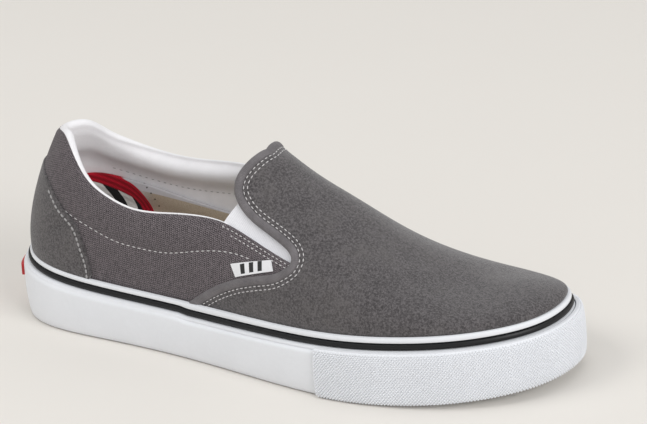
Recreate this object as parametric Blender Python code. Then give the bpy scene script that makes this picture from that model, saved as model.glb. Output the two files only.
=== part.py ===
# Low slip-on sneaker, right foot. Metres, +Z up, toe towards +X, outer side towards -Y.
# The last is one function: t runs heel (0) to toe (pi) along the outline of the sole,
# w runs from the feather line (0) to the ridge of the foot (1), below 0 it is the lasted edge.
import math
import bpy
import bmesh
import numpy as np
from mathutils import Matrix

LENGTH = 0.292
HALF = 0.0515          # half the width of the ball
SIDE = 0.0355          # height of the sidewall at the heel
PEAK = 0.100           # height of the ridge over the instep
GAP = 0.0003           # between bonded or stitched pieces
LASTED = 0.0065        # how far the upper stands in from the widest outline of the sole
SIDEWALL_IN = LASTED - GAP
TOE_SPRING = 0.0056
HEEL_SPRING = 0.0010
BAND = 0.0025          # heights of the white top band and the black stripe under it
STRIPE = 0.0026
BAND_FACE = 0.0042     # how far their faces stand in from the widest outline
STRIPE_FACE = 0.0032
EASE = 0.0005          # rounding of rubber edges
TAPER = 0.0010         # how much the sidewall narrows towards its edges
GROUND_GAP = 0.0005    # the sidewall ends just over the tread
BUMPER = 0.0013        # depth of the toe bumper inside the outline, and how far it stands out
PROUD = 0.0010
LUG_DEPTH = 0.0018
ARCH_LIFT = 0.0008     # the lugs of the arch hang free by this much
WALL = 0.0022          # thickness of the upper
VAMP_RISE = 0.0005     # the vamp lies on top of the quarters
QUARTER_DROP = 0.0003
PADDING = 0.0046       # extra thickness of the padded collar
ROLL = 0.0014          # how far the collar's edge rolls in
BINDING = 0.0036       # width and thickness of the bound edge
BINDING_THICK = 0.0010
TAB_EDGE = 0.0012      # extra depth of the binding where the tab stands free
PATCH = 0.0008         # thickness of heel counter and gussets
TAG = 0.0005
CUP_WALL = 0.0019      # thickness of the insole's rim
CUP_SLACK = 0.0004     # between the insole and the upper
LABEL = (0.0215, 0.0068, 0.0009)   # half width, height and thickness of the heel label
LABEL_LOW = 0.0180
TURNS = 60             # columns round the sole
EDGE_STEPS = 33        # columns along the bound edge of the vamp
THROAT_BOW = 0.12      # forward lean of the vamp's column over the throat
OUTER, INNER = -1, 1   # the two sides of the foot

# share of the length, half widths of the sole on the outer and inner side
SOLE_LINE = np.array([
    [0.000, 0.000, 0.000], [0.015, 0.348, 0.334], [0.050, 0.579, 0.548], [0.120, 0.722, 0.695],
    [0.220, 0.755, 0.730], [0.350, 0.796, 0.722], [0.480, 0.893, 0.750], [0.600, 0.994, 0.823],
    [0.700, 1.021, 0.893], [0.800, 0.936, 0.920], [0.880, 0.765, 0.870], [0.940, 0.530, 0.753],
    [0.985, 0.204, 0.534], [1.000, -0.175, 0.175]])
# share of the length, heights of sidewall, insole board and footbed
LEVELS = np.array([
    [0.00, 0.985, 0.817, 1.100], [0.12, 0.860, 0.770, 1.060], [0.35, 0.783, 0.620, 0.915],
    [0.65, 0.850, 0.577, 0.730], [0.85, 0.940, 0.605, 0.730], [1.00, 1.005, 0.704, 0.830]])
# place along the length, height of the ridge, side shift of the ridge
RIDGE = np.array([
    [0.123, 1.500, 0.000], [0.212, 1.430, 0.000], [0.342, 1.230, 0.000], [0.473, 0.982, 0.000],
    [0.548, 0.847, 0.000], [0.616, 0.753, 0.000], [0.685, 0.637, 0.002], [0.760, 0.525, 0.020],
    [0.839, 0.442, 0.044], [0.897, 0.426, 0.060]])
SPINE = (0.1233, 0.8973)
# share of the length, fullness over the feather line (outer, inner), fullness beside the ridge
# (outer, inner), bulge over the feather line in shares of the half width
FULLNESS = np.array([
    [0.00, 0.30, 0.30, -0.75, -0.75, 0.050], [0.10, 0.48, 0.48, 0.15, 0.15, 0.041],
    [0.20, 0.61, 0.61, 0.77, 0.77, 0.031], [0.30, 0.61, 0.61, 0.89, 0.89, 0.023],
    [0.45, 0.51, 0.52, 0.50, 0.70, 0.020], [0.60, 0.50, 0.40, 0.50, 0.45, 0.024],
    [0.75, 0.55, 0.26, 0.55, 0.30, 0.030], [0.90, 0.58, 0.26, 0.60, 0.40, 0.034],
    [1.00, 0.60, 0.60, 0.60, 0.60, 0.039]])
# top edge of the quarters on the outer side, then on the inner side
COLLAR = {
    OUTER: np.array([
        [0.00, 0.404], [0.05, 0.406], [0.109, 0.392], [0.153, 0.337], [0.188, 0.280], [0.232, 0.246],
        [0.282, 0.242], [0.338, 0.283], [0.391, 0.345], [0.445, 0.400], [0.480, 0.408], [0.553, 0.397],
        [0.600, 0.385], [0.680, 0.365]]),
    INNER: np.array([
        [0.00, 0.404], [0.05, 0.374], [0.090, 0.322], [0.127, 0.281], [0.190, 0.244], [0.246, 0.246],
        [0.297, 0.275], [0.371, 0.345], [0.410, 0.380], [0.445, 0.400], [0.480, 0.408], [0.553, 0.397],
        [0.600, 0.385], [0.680, 0.365]])}
# rear edge of the vamp from the feather line round the side opening to the top of its tab
VAMP_LINE = np.array([
    [0.388, 0.000], [0.420, 0.058], [0.456, 0.123], [0.490, 0.180], [0.537, 0.247], [0.566, 0.294],
    [0.582, 0.338], [0.591, 0.375], [0.593, 0.404], [0.588, 0.436], [0.572, 0.461], [0.540, 0.480],
    [0.500, 0.495], [0.472, 0.530], [0.458, 0.580], [0.454, 0.640], [0.457, 0.740], [0.463, 0.860],
    [0.467, 1.000]])
# front edge of the heel counter from the feather line to the back of the heel
COUNTER_LINE = np.array([
    [0.190, 0.006], [0.190, 0.029], [0.181, 0.085], [0.167, 0.142], [0.136, 0.185], [0.101, 0.246],
    [0.044, 0.303], [0.000, 0.318]])
# share of the length, top of the cup of the insole
CUP = np.array([
    [0.00, 0.20], [0.06, 0.185], [0.12, 0.152], [0.18, 0.130], [0.25, 0.118], [0.35, 0.118],
    [0.45, 0.085], [0.55, -0.05], [0.65, -0.35], [0.80, -0.45], [1.00, -0.45]])
BUMPER_FROM = 0.655    # share of the length where the toe bumper starts
# height share and inset in tapers of the sidewall's face, from the ground up
SIDEWALL_FACE = [(0.00, 1.8), (0.05, 0.9), (0.45, 0.0), (0.78, 0.3), (0.97, 1.2), (1.00, 2.2)]
# height share and stand-out in shares of PROUD of the bumper's face, from the ground up
BUMPER_FACE = [(0.01, -0.3), (0.12, 0.4), (0.50, 1.0), (0.80, 0.7), (1.00, -0.2)]
# height share of the quarter's wall, share of the padding, share of the edge roll
PAD_ROWS = np.array([
    [-0.93, 0.00, 0.00], [-0.40, 0.00, 0.00], [0.00, 0.00, 0.00], [0.12, 0.00, 0.00], [0.28, 0.00, 0.00],
    [0.45, 0.00, 0.00], [0.61, 0.00, 0.00], [0.71, 0.50, 0.00], [0.80, 0.95, 0.00], [0.88, 0.90, 0.00],
    [0.945, 0.62, 0.15], [0.982, 0.38, 0.50], [1.00, 0.12, 1.00]])


def smooth(rows, column, at):
    xs = rows[:, 0]
    ys = rows[:, column]
    at = np.asarray(at, float)
    steps = np.diff(xs)
    matrix = np.eye(len(xs))
    right = np.zeros(len(xs))
    for i in range(1, len(xs) - 1):
        matrix[i, i - 1:i + 2] = steps[i - 1], 2 * (steps[i - 1] + steps[i]), steps[i]
        right[i] = 6 * ((ys[i + 1] - ys[i]) / steps[i] - (ys[i] - ys[i - 1]) / steps[i - 1])
    bend = np.linalg.solve(matrix, right)
    k = np.clip(np.searchsorted(xs, at, side="right") - 1, 0, len(xs) - 2)
    h = steps[k]
    u = (at - xs[k]) / h
    return (ys[k] * (1 - u) + ys[k + 1] * u
            + h ** 2 / 6 * (((1 - u) ** 3 - (1 - u)) * bend[k] + (u ** 3 - u) * bend[k + 1]))


def turn_of(q):
    return np.arccos(1 - 2 * np.asarray(q, float))


def share_of(t):
    return (1 - np.cos(t)) / 2


def fold(side, t):
    over = (t < 0) | (t > math.pi)
    t = np.where(t < 0, -t, np.where(t > math.pi, 2 * math.pi - t, t))
    return np.where(over, -side, side), t


def by_side(side, rows, outer_column, inner_column, at):
    return np.where(side < 0, smooth(rows, outer_column, at), smooth(rows, inner_column, at))


TURN_LINE = np.column_stack([turn_of(SOLE_LINE[:, 0]), SOLE_LINE[:, 1:]])


def outline(side, t):
    side, t = fold(side, t)
    return share_of(t) * LENGTH, by_side(side, TURN_LINE, 1, 2, t) * side * HALF


def edge(side, t, inset):
    # a point of the outline moved in along its own normal, and that normal
    side = np.asarray(side, float)
    t = np.asarray(t, float)
    x, y = outline(side, t)
    x0, y0 = outline(side, t - 0.001)
    x1, y1 = outline(side, t + 0.001)
    size = np.hypot(x1 - x0, y1 - y0)
    nx = side * (y1 - y0) / size
    ny = -side * (x1 - x0) / size
    return x + nx * inset, y + ny * inset, nx, ny


def level(column, q):
    return smooth(LEVELS, column, q) * SIDE


def ground(x):
    share = x / LENGTH
    toe = TOE_SPRING * np.clip((share - 0.66) / 0.34, 0, None) ** 2
    heel = HEEL_SPRING * np.clip((0.06 - share) / 0.06, 0, None) ** 2
    return toe + heel


def spine(q):
    share = SPINE[0] + (SPINE[1] - SPINE[0]) * q
    height = smooth(RIDGE, 1, share) * PEAK
    slope = (smooth(RIDGE, 1, share + 0.002) - smooth(RIDGE, 1, share - 0.002)) * PEAK / (0.004 * LENGTH)
    return share * LENGTH, smooth(RIDGE, 2, share) * PEAK, height, slope


def last(side, t, w):
    side, t, w = np.broadcast_arrays(np.asarray(side, float), np.asarray(t, float), np.asarray(w, float))
    side = np.where(w > 1, -side, side)
    w = np.where(w > 1, 2 - w, w)
    side, t = fold(side, t)
    q = share_of(t)
    bx, by, nx, ny = edge(side, t, LASTED)
    low = level(1, q)
    sx, sy, top, slope = spine(q)
    foot = by_side(side, FULLNESS, 1, 2, q)
    crown = by_side(side, FULLNESS, 3, 4, q)
    bulge = smooth(FULLNESS, 5, q) * HALF
    start = np.stack([bx, by, low], -1)
    end = np.stack([sx, sy, top], -1)
    first = np.stack([bx - nx * bulge, by - ny * bulge, low + foot * (top - low)], -1)
    second = end + (start - end) * crown[..., None]
    second[..., 2] = top + slope * crown * (bx - sx)
    u = np.clip(w, 0, 1)[..., None]
    point = (start * (1 - u) ** 3 + 3 * first * u * (1 - u) ** 2 + 3 * second * u ** 2 * (1 - u)
             + end * u ** 3)
    point[..., 2] += np.minimum(w, 0) * (low - level(2, q) - GAP)
    return point


def skin(side, t, w, off):
    # the last moved out along its normal
    e = 0.002
    side, t, w = np.broadcast_arrays(np.asarray(side, float), np.asarray(t, float), np.asarray(w, float))
    near = np.where(t > 3.0, np.minimum(w, 0.96), w)
    along = last(side, t + e, near) - last(side, t - e, near)
    up = last(side, t, near + e) - last(side, t, near - e)
    normal = np.cross(along, up) * -side[..., None]
    normal /= np.linalg.norm(normal, axis=-1, keepdims=True)
    return last(side, t, w) + normal * np.asarray(off, float)[..., None]


def solid(name, points, faces):
    mesh = bpy.data.meshes.new(name)
    mesh.from_pydata([tuple(p) for p in points], [], [tuple(f) for f in faces])
    body = bmesh.new()
    body.from_mesh(mesh)
    bmesh.ops.remove_doubles(body, verts=body.verts, dist=0.000004)
    bmesh.ops.recalc_face_normals(body, faces=body.faces)
    body.to_mesh(mesh)
    body.free()
    piece = bpy.data.objects.new(name, mesh)
    bpy.context.scene.collection.objects.link(piece)
    return piece


def shell(name, blocks):
    # blocks: grids of (side, t, w, outer offset, inner offset), welded where they meet
    seen = {}
    low, high, faces = [], [], []
    for side, t, w, out, inn in blocks:
        side, t, w, out, inn = np.broadcast_arrays(*[np.asarray(a, float) for a in (side, t, w, out, inn)])
        middle = last(side, t, w)
        top = skin(side, t, w, out)
        under = skin(side, t, w, inn)
        index = np.zeros(t.shape, int)
        for spot in np.ndindex(t.shape):
            key = tuple(np.round(middle[spot] / 0.00002).astype(int))
            if key not in seen:
                seen[key] = len(high)
                high.append(top[spot])
                low.append(under[spot])
            index[spot] = seen[key]
        for i in range(t.shape[0] - 1):
            for j in range(t.shape[1] - 1):
                ring = [index[i, j], index[i + 1, j], index[i + 1, j + 1], index[i, j + 1]]
                face = [v for k, v in enumerate(ring) if v != ring[k - 1]]
                if len(set(face)) > 2:
                    faces.append(face)
    count = len(high)
    uses = {}
    for face in faces:
        for k in range(len(face)):
            pair = (face[k - 1], face[k])
            uses.setdefault(tuple(sorted(pair)), []).append(pair)
    rim = [pairs[0] for pairs in uses.values() if len(pairs) == 1]
    walls = [[a, b, b + count, a + count] for a, b in rim]
    under_faces = [[v + count for v in reversed(f)] for f in faces]
    return solid(name, high + low, faces + under_faces + walls)


def round_columns(first=None):
    # (side, t) all round the sole, with a close pair where the toe bumper starts
    start = float(turn_of(BUMPER_FROM))
    turns = [math.pi * k / (TURNS // 2) for k in range(TURNS // 2 + 1)]
    turns = [t for t in turns if abs(t - start) > 0.03] + [start - 0.002, start]
    turns = sorted(turns)
    if first is not None:
        turns = [first] + [t for t in turns if t > first + 0.003]
    inner = [(INNER, t) for t in turns]
    outer = [(OUTER, t) for t in reversed(turns[1:-1] if first is None else turns[:-1])]
    return inner + outer


def ring(name, section, first=None):
    # a closed section of (inset, height) carried round the sole
    columns = round_columns(first)
    points = []
    size = 0
    for side, t in columns:
        rows = section(float(share_of(t)), t)
        size = len(rows)
        for inset, z in rows:
            x, y, _, _ = edge(side, t, inset)
            points.append((float(x), float(y), z))
    faces = []
    count = len(columns)
    for i in range(count if first is None else count - 1):
        for j in range(size):
            k = (i + 1) % count
            n = (j + 1) % size
            faces.append([i * size + j, k * size + j, k * size + n, i * size + n])
    if first is not None:
        faces.append(list(range(size)))
        faces.append([(count - 1) * size + j for j in range(size)])
    return solid(name, points, faces)


def loft(columns, rows):
    # rows of points round the sole, the first and last row lie on the centre line
    points = []
    for row in rows:
        points += [tuple(float(v) for v in row(side, t)) for side, t in columns]
    count = len(columns)
    faces = []
    for j in range(len(rows) - 1):
        for i in range(count):
            k = (i + 1) % count
            faces.append([j * count + i, j * count + k, (j + 1) * count + k, (j + 1) * count + i])
    return points, faces


def inside(side, t, inset, share, height):
    # a point between the centre line (share 0) and the inset outline (share 1)
    x, y, _, _ = edge(side, t, inset)
    q = share_of(t)
    cx = (SPINE[0] + (SPINE[1] - SPINE[0]) * q) * LENGTH
    cy = smooth(RIDGE, 2, cx / LENGTH) * PEAK
    px = cx + (x - cx) * share
    py = cy + (y - cy) * share
    return px, py, height(px, q)


def recess(t):
    return BUMPER if t > turn_of(BUMPER_FROM) - 0.001 else 0.0


def sidewall_heights(q):
    low = float(ground(q * LENGTH)) + GROUND_GAP
    return low, float(level(1, q)) - BAND - STRIPE - 2 * GAP


def foxing_section(q, t):
    low, top = sidewall_heights(q)
    face = [(part * TAPER + recess(t), low + share * (top - low)) for share, part in SIDEWALL_FACE]
    return [(SIDEWALL_IN, low)] + face + [(SIDEWALL_IN, top)]


def stripe_section(q, t):
    top = float(level(1, q)) - BAND - GAP
    return [(SIDEWALL_IN, top - STRIPE), (STRIPE_FACE + 2 * EASE, top - STRIPE), (STRIPE_FACE, top - STRIPE / 2),
            (STRIPE_FACE + 2 * EASE, top), (SIDEWALL_IN, top)]


def band_section(q, t):
    top = float(level(1, q))
    return [(SIDEWALL_IN, top - BAND), (BAND_FACE + EASE, top - BAND), (BAND_FACE, top - BAND / 2),
            (BAND_FACE + 2 * EASE, top), (SIDEWALL_IN, top)]


def bumper_section(q, t):
    low, top = sidewall_heights(q)
    top -= EASE
    face = [(-share_out * PROUD, low + share * (top - low)) for share, share_out in BUMPER_FACE]
    back = BUMPER - GAP
    return [(back, low + 0.10 * (top - low))] + face + [(back, top - EASE), (back, (low + top) / 2)]


def make_sole():
    half = TURNS // 2
    columns = [(INNER, math.pi * k / half) for k in range(half + 1)]
    columns += [(OUTER, math.pi * k / half) for k in range(half - 1, 0, -1)]

    def tread(x, q):
        return ground(x) + LUG_DEPTH

    def board(x, q):
        return level(2, q)

    rows = [lambda s, t: inside(s, t, LASTED, 0.0, tread),
            lambda s, t: inside(s, t, LASTED, 0.34, tread),
            lambda s, t: inside(s, t, LASTED, 0.67, tread),
            lambda s, t: inside(s, t, LASTED, 0.97, tread),
            lambda s, t: inside(s, t, LASTED, 1.0, tread),
            lambda s, t: inside(s, t, LASTED, 1.0, board),
            lambda s, t: inside(s, t, LASTED, 0.0, board)]
    points, faces = loft(columns, rows)
    count = len(columns)
    chosen = []
    for j in range(3):
        for i in range(count):
            corners = [np.array(points[v]) for v in faces[j * count + i]]
            narrow = min(np.linalg.norm(corners[1] - corners[0]), np.linalg.norm(corners[2] - corners[3]))
            if (i + j) % 2 == 0 and narrow > 2.5 * LUG_DEPTH:
                chosen.append(j * count + i)
    keep = [f for k, f in enumerate(faces) if k not in set(chosen)]
    for k in chosen:
        face = faces[k]
        corners = [np.array(points[v]) for v in face]
        centre = sum(corners) / 4
        share = centre[0] / LENGTH
        lift = ARCH_LIFT if 0.33 < share < 0.52 else 0.0
        low = []
        for corner in corners:
            spot = centre + (corner - centre) * 0.76
            low.append(len(points))
            points.append((spot[0], spot[1], float(ground(spot[0])) + lift))
        keep.append(low)
        for n in range(4):
            keep.append([face[n], face[n - 1], low[n - 1], low[n]])
    return solid("sole", points, keep)


def make_insole():
    columns = [(INNER, math.pi * k / 26) for k in range(27)]
    columns += [(OUTER, math.pi * k / 26) for k in range(25, 0, -1)]
    back = QUARTER_DROP + WALL + CUP_SLACK
    floor_in = LASTED + back + 1.6 * CUP_WALL

    def under(x, q):
        return level(2, q) + GAP

    def bed(x, q):
        return level(3, q)

    def cup(t):
        return float(smooth(CUP, 1, share_of(t)))

    def wall(part, deep):
        return lambda s, t: skin(s, t, -1 + (cup(t) + 1) * part, -back - deep)

    def floor(share, rise):
        def at(side, t):
            rim = last(side, t, cup(t))[..., 2]
            return inside(side, t, floor_in, share, lambda x, q: bed(x, q) + rise * (rim - bed(x, q)))
        return at

    def slope(side, t):
        return 0.5 * (wall(1.0, CUP_WALL)(side, t) + np.array(floor(1.0, 0.22)(side, t), float))

    rows = [lambda s, t: inside(s, t, LASTED + back, 0.0, under), wall(0.0, 0.0), wall(0.45, 0.0),
            wall(0.75, 0.0), wall(1.0, 0.0), wall(1.0, CUP_WALL), slope, floor(1.0, 0.22), floor(0.66, 0.05),
            floor(0.0, 0.0)]
    points, faces = loft(columns, rows)
    return solid("insole", points, faces)


def along_line(rows, count):
    # even samples of a table of (share, w) drawn on the outer side of the last
    spots = last(OUTER, turn_of(rows[:, 0]), rows[:, 1])
    run = np.concatenate([[0], np.cumsum(np.linalg.norm(np.diff(spots, axis=0), axis=1))])
    guide = np.column_stack([run, rows])
    at = np.linspace(0, run[-1], count)
    return turn_of(smooth(guide, 1, at)), smooth(guide, 2, at)


def moved_line(t, w, far):
    # a line on the last moved sideways over the surface by a distance
    e = 0.002
    spots = last(OUTER, t, w)
    run = np.gradient(spots, axis=0)
    along = (last(OUTER, t + e, w) - last(OUTER, t - e, w)) / (2 * e)
    up = (last(OUTER, t, w + e) - last(OUTER, t, w - e)) / (2 * e)
    normal = np.cross(along, up)
    across = np.cross(normal, run)
    across /= np.linalg.norm(across, axis=1)[:, None]
    across *= np.sign(np.sum(across[-2] * along[-2]))
    new_t, new_w = t.copy(), w.copy()
    for k in range(len(t)):
        basis = np.column_stack([along[k], up[k]])
        step = np.linalg.lstsq(basis, across[k] * far, rcond=None)[0]
        new_t[k] += step[0]
        new_w[k] += step[1]
    new_w[-1] = 1.0
    return new_t, new_w


def both(blocks):
    return [(side * block[0],) + tuple(block[1:]) for block in blocks for side in (OUTER, INNER)]


def make_quarters():
    heights = PAD_ROWS[:, 0][None]
    blocks = []
    for side in (OUTER, INNER):
        t = np.linspace(0, float(turn_of(0.66)), 22)[:, None]
        q = share_of(t)
        w = np.where(heights > 0, heights * smooth(COLLAR[side], 1, q), heights)
        padded = np.clip((0.43 - q) / 0.10, 0, 1)
        rolled = np.clip((0.47 - q) / 0.03, 0, 1)
        out = -QUARTER_DROP - ROLL * PAD_ROWS[:, 2][None] * rolled
        deep = -QUARTER_DROP - WALL - PADDING * PAD_ROWS[:, 1][None] * padded
        blocks.append((side, t, w, out, deep))
    return shell("quarters", blocks)


def make_vamp():
    t, w = along_line(VAMP_LINE, EDGE_STEPS)
    t, w = moved_line(t, w, BINDING + GAP)
    throat = int(np.argmax(np.where(w < 0.6, t, 0)))
    above = w[:throat + 1] > 0.006
    wing_t = np.concatenate([[np.interp(0.0, w[:throat + 1], t[:throat + 1])], t[:throat + 1][above]])
    wing_w = np.concatenate([[0.0], w[:throat + 1][above]])
    tab_t, tab_w = t[throat:], w[throat:]
    corner = int(np.argmin(np.abs(tab_w - 0.56)))
    low_t, low_w = tab_t[:corner + 1], tab_w[:corner + 1]
    rear_t, rear_w = tab_t[corner:], tab_w[corner:]
    count = len(rear_t)

    def lift(w):
        return VAMP_RISE * np.clip(w / 0.05, 0, 1)

    # lower wing, rows from the lasted edge up to the edge line
    rows = np.array([0.2, 0.45, 0.7, 1.0])
    base_t = np.linspace(wing_t[0], wing_t[-1], len(wing_t))
    foot = np.array([-1.0, -0.5, 0.0])
    wing_tt = np.column_stack([np.repeat(base_t[:, None], 3, 1),
                               base_t[:, None] + (wing_t - base_t)[:, None] * rows[None]])
    wing_ww = np.column_stack([np.repeat(foot[None], len(base_t), 0), wing_w[:, None] * rows[None]])
    # tab, a four sided patch between the opening, the rear edge, the ridge and the throat column
    us = np.linspace(0, 1, len(low_t))[:, None]
    vs = ((rear_w - rear_w[0]) / (1 - rear_w[0]))[None]
    throat_t = tab_t[0] + THROAT_BOW * np.sin(vs[0] * math.pi / 2)
    throat_w = tab_w[0] + (1 - tab_w[0]) * vs[0]
    ridge_t = np.linspace(throat_t[-1], rear_t[-1], len(low_t))
    patch = []
    for low, high, left, right in ((low_t, ridge_t, throat_t, rear_t),
                                   (low_w, np.ones(len(low_t)), throat_w, rear_w)):
        cross = (low[:, None] * (1 - vs) + high[:, None] * vs + left[None] * (1 - us) + right[None] * us
                 - ((1 - us) * (1 - vs) * low[0] + us * (1 - vs) * low[-1]
                    + (1 - us) * vs * high[0] + us * vs * high[-1]))
        patch.append(cross)
    # front, all rows carried to the toe
    column_w = np.concatenate([wing_ww[-1], throat_w[1:]])
    column_t = np.concatenate([np.full(wing_ww.shape[1], tab_t[0]), throat_t[1:]])
    onward = np.linspace(0, 1, 16)[:, None]
    front = (column_t[None] + (math.pi - column_t[None]) * onward, column_w[None] + 0 * onward)
    blocks = [(1, wing_tt, wing_ww), (1, patch[0], patch[1]), (1, front[0], front[1])]
    return shell("vamp", both([(s, tt, ww, lift(ww), lift(ww) - WALL) for s, tt, ww in blocks]))


def make_binding():
    t, w = along_line(VAMP_LINE, EDGE_STEPS)
    far_t, far_w = moved_line(t, w, BINDING)
    keep = far_w > 0.006
    keep[np.argmax(keep) - 1] = True
    t, w, far_t, far_w = t[keep], w[keep], far_t[keep], far_w[keep]
    share = np.array([0.0, 0.24, 0.76, 1.0])
    tt = t[:, None] + (far_t - t)[:, None] * share[None]
    ww = np.maximum(w[:, None] + (far_w - w)[:, None] * share[None], 0.006)
    dome = np.array([0.45, 1.0, 1.0, 0.5])
    free = np.clip((w - 0.50) / 0.10, 0, 1)
    base = GAP - QUARTER_DROP
    out = base + BINDING_THICK * (0.2 + 0.8 * dome[None]) + 0 * tt
    deep = base - TAB_EDGE * free[:, None] + 0 * tt
    return shell("vamp_binding", both([(1, tt, ww, out, deep)]))


def make_counter():
    turns = turn_of(COUNTER_LINE[:, 0])
    spots = last(OUTER, turns, COUNTER_LINE[:, 1])
    run = np.concatenate([[0], np.cumsum(np.linalg.norm(np.diff(spots, axis=0), axis=1))])
    guide = np.column_stack([run, turns, COUNTER_LINE[:, 1]])
    at = np.linspace(0, run[-1], 15)
    top_t = np.clip(smooth(guide, 1, at), 0, None)
    top_w = smooth(guide, 2, at)
    base_t = np.linspace(top_t[0], 0, 15)
    share = np.array([0.0, 0.2, 0.4, 0.6, 0.8, 1.0])[None]
    tt = base_t[:, None] + (top_t - base_t)[:, None] * share
    ww = 0.006 + (top_w[:, None] - 0.006) * share
    tt, ww = tt[1:], ww[1:]
    base = GAP - QUARTER_DROP
    return shell("heel_counter", both([(1, tt, ww, base + PATCH, base)]))


def make_gore(name, side):
    us = np.linspace(0, 1, 6)[:, None]
    vs = np.linspace(0, 1, 4)[None]
    q = (0.451 + (0.478 - 0.451) * vs) * (1 - us) + (0.612 + (0.606 - 0.612) * vs) * us
    low = 0.370 - 0.022 * us
    high = 0.600 - 0.10 * us
    w = low + (high - low) * vs
    top = -QUARTER_DROP - WALL - GAP
    return shell(name, [(side, turn_of(q), w, top, top - PATCH)])


def make_tag():
    us = np.linspace(0, 1, 5)[:, None]
    vs = np.linspace(0, 1, 3)[None]
    q = (0.487 * (1 - us) + 0.561 * us) * (1 - vs) + (0.476 * (1 - us) + 0.554 * us) * vs
    w = (0.187 * (1 - us) + 0.301 * us) * (1 - vs) + (0.240 * (1 - us) + 0.356 * us) * vs
    base = GAP - QUARTER_DROP
    return shell("side_tag", [(OUTER, turn_of(q), w, base + TAG, base)])


def make_label():
    half_width, tall, thick = LABEL
    low, top = sidewall_heights(0.0)
    turns = np.linspace(-1, 1, 7) * half_width / (LENGTH / 4)
    heights = LABEL_LOW + np.array([0.0, 0.1, 0.9, 1.0]) * tall
    shares = [share for share, _ in SIDEWALL_FACE]
    insets = [part * TAPER for _, part in SIDEWALL_FACE]
    points = []
    for out in (GAP, GAP + thick):
        for turn in turns:
            side = INNER if turn >= 0 else OUTER
            for z in heights:
                belly = float(np.interp((z - low) / (top - low), shares, insets))
                x, y, _, _ = edge(side, abs(turn), belly - out)
                points.append((float(x), float(y), float(z)))
    faces = []
    rows = len(heights)
    layer = len(turns) * rows
    for k in range(len(turns) - 1):
        for j in range(rows - 1):
            a = k * rows + j
            faces.append([a, a + rows, a + rows + 1, a + 1])
            faces.append([v + layer for v in (a + 1, a + rows + 1, a + rows, a)])
    rim = [k * rows for k in range(len(turns))]
    rim += [(len(turns) - 1) * rows + j for j in range(1, rows)]
    rim += [k * rows + rows - 1 for k in range(len(turns) - 2, -1, -1)]
    rim += list(range(rows - 2, 0, -1))
    for k in range(len(rim)):
        faces.append([rim[k - 1], rim[k], rim[k] + layer, rim[k - 1] + layer])
    return solid("heel_label", points, faces)


def make_upper():
    quarters = make_quarters()
    vamp = make_vamp()
    join = quarters.modifiers.new("vamp", "BOOLEAN")
    join.operation = "UNION"
    join.solver = "EXACT"
    join.object = vamp
    graph = bpy.context.evaluated_depsgraph_get()
    mesh = bpy.data.meshes.new_from_object(quarters.evaluated_get(graph))
    quarters.modifiers.clear()
    upper = bpy.data.objects.new("upper", mesh)
    bpy.context.scene.collection.objects.link(upper)
    bpy.data.objects.remove(quarters)
    bpy.data.objects.remove(vamp)
    body = bmesh.new()
    body.from_mesh(mesh)
    bmesh.ops.remove_doubles(body, verts=body.verts, dist=0.000004)
    bmesh.ops.dissolve_degenerate(body, edges=body.edges, dist=0.000004)
    body.to_mesh(mesh)
    body.free()
    return upper


def paint(piece, colour, roughness):
    material = bpy.data.materials.new(piece.name)
    material.use_nodes = True
    surface = material.node_tree.nodes["Principled BSDF"]
    surface.inputs["Base Color"].default_value = colour + (1.0,)
    surface.inputs["Roughness"].default_value = roughness
    surface.inputs["Metallic"].default_value = 0.0
    piece.data.materials.clear()
    piece.data.materials.append(material)
    piece.data.shade_smooth()
    piece.data.set_sharp_from_angle(angle=math.radians(50))


def centre_on_footprint(pieces):
    spots = np.array([v.co[:] for piece in pieces for v in piece.data.vertices])
    middle = (spots.min(0) + spots.max(0)) / 2
    for piece in pieces:
        piece.data.transform(Matrix.Translation((-middle[0], -middle[1], -spots[:, 2].min())))


for thing in list(bpy.data.objects):
    bpy.data.objects.remove(thing)

WHITE = (0.82, 0.84, 0.86)
BLACK = (0.012, 0.012, 0.014)
RED = (0.55, 0.02, 0.03)
GREY = (0.105, 0.104, 0.106)
CLOTH = (0.75, 0.76, 0.78)
CREAM = (0.62, 0.55, 0.43)

bumper_start = float(turn_of(BUMPER_FROM)) + 0.003
parts = [
    (make_sole(), WHITE, 0.60),
    (ring("foxing", foxing_section), WHITE, 0.45),
    (ring("foxing_stripe", stripe_section), BLACK, 0.25),
    (ring("foxing_top_band", band_section), WHITE, 0.45),
    (ring("toe_bumper", bumper_section, bumper_start), WHITE, 0.50),
    (make_label(), RED, 0.40),
    (make_upper(), GREY, 0.90),
    (make_binding(), GREY, 0.80),
    (make_counter(), GREY, 0.90),
    (make_gore("gore_outer", OUTER), CLOTH, 0.85),
    (make_gore("gore_inner", INNER), CLOTH, 0.85),
    (make_insole(), CREAM, 0.90),
    (make_tag(), CLOTH, 0.80),
]
for piece, colour, roughness in parts:
    paint(piece, colour, roughness)
centre_on_footprint([piece for piece, _, _ in parts])
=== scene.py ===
import math
import bpy
import bmesh
import numpy as np
from mathutils import Matrix, Vector


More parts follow.
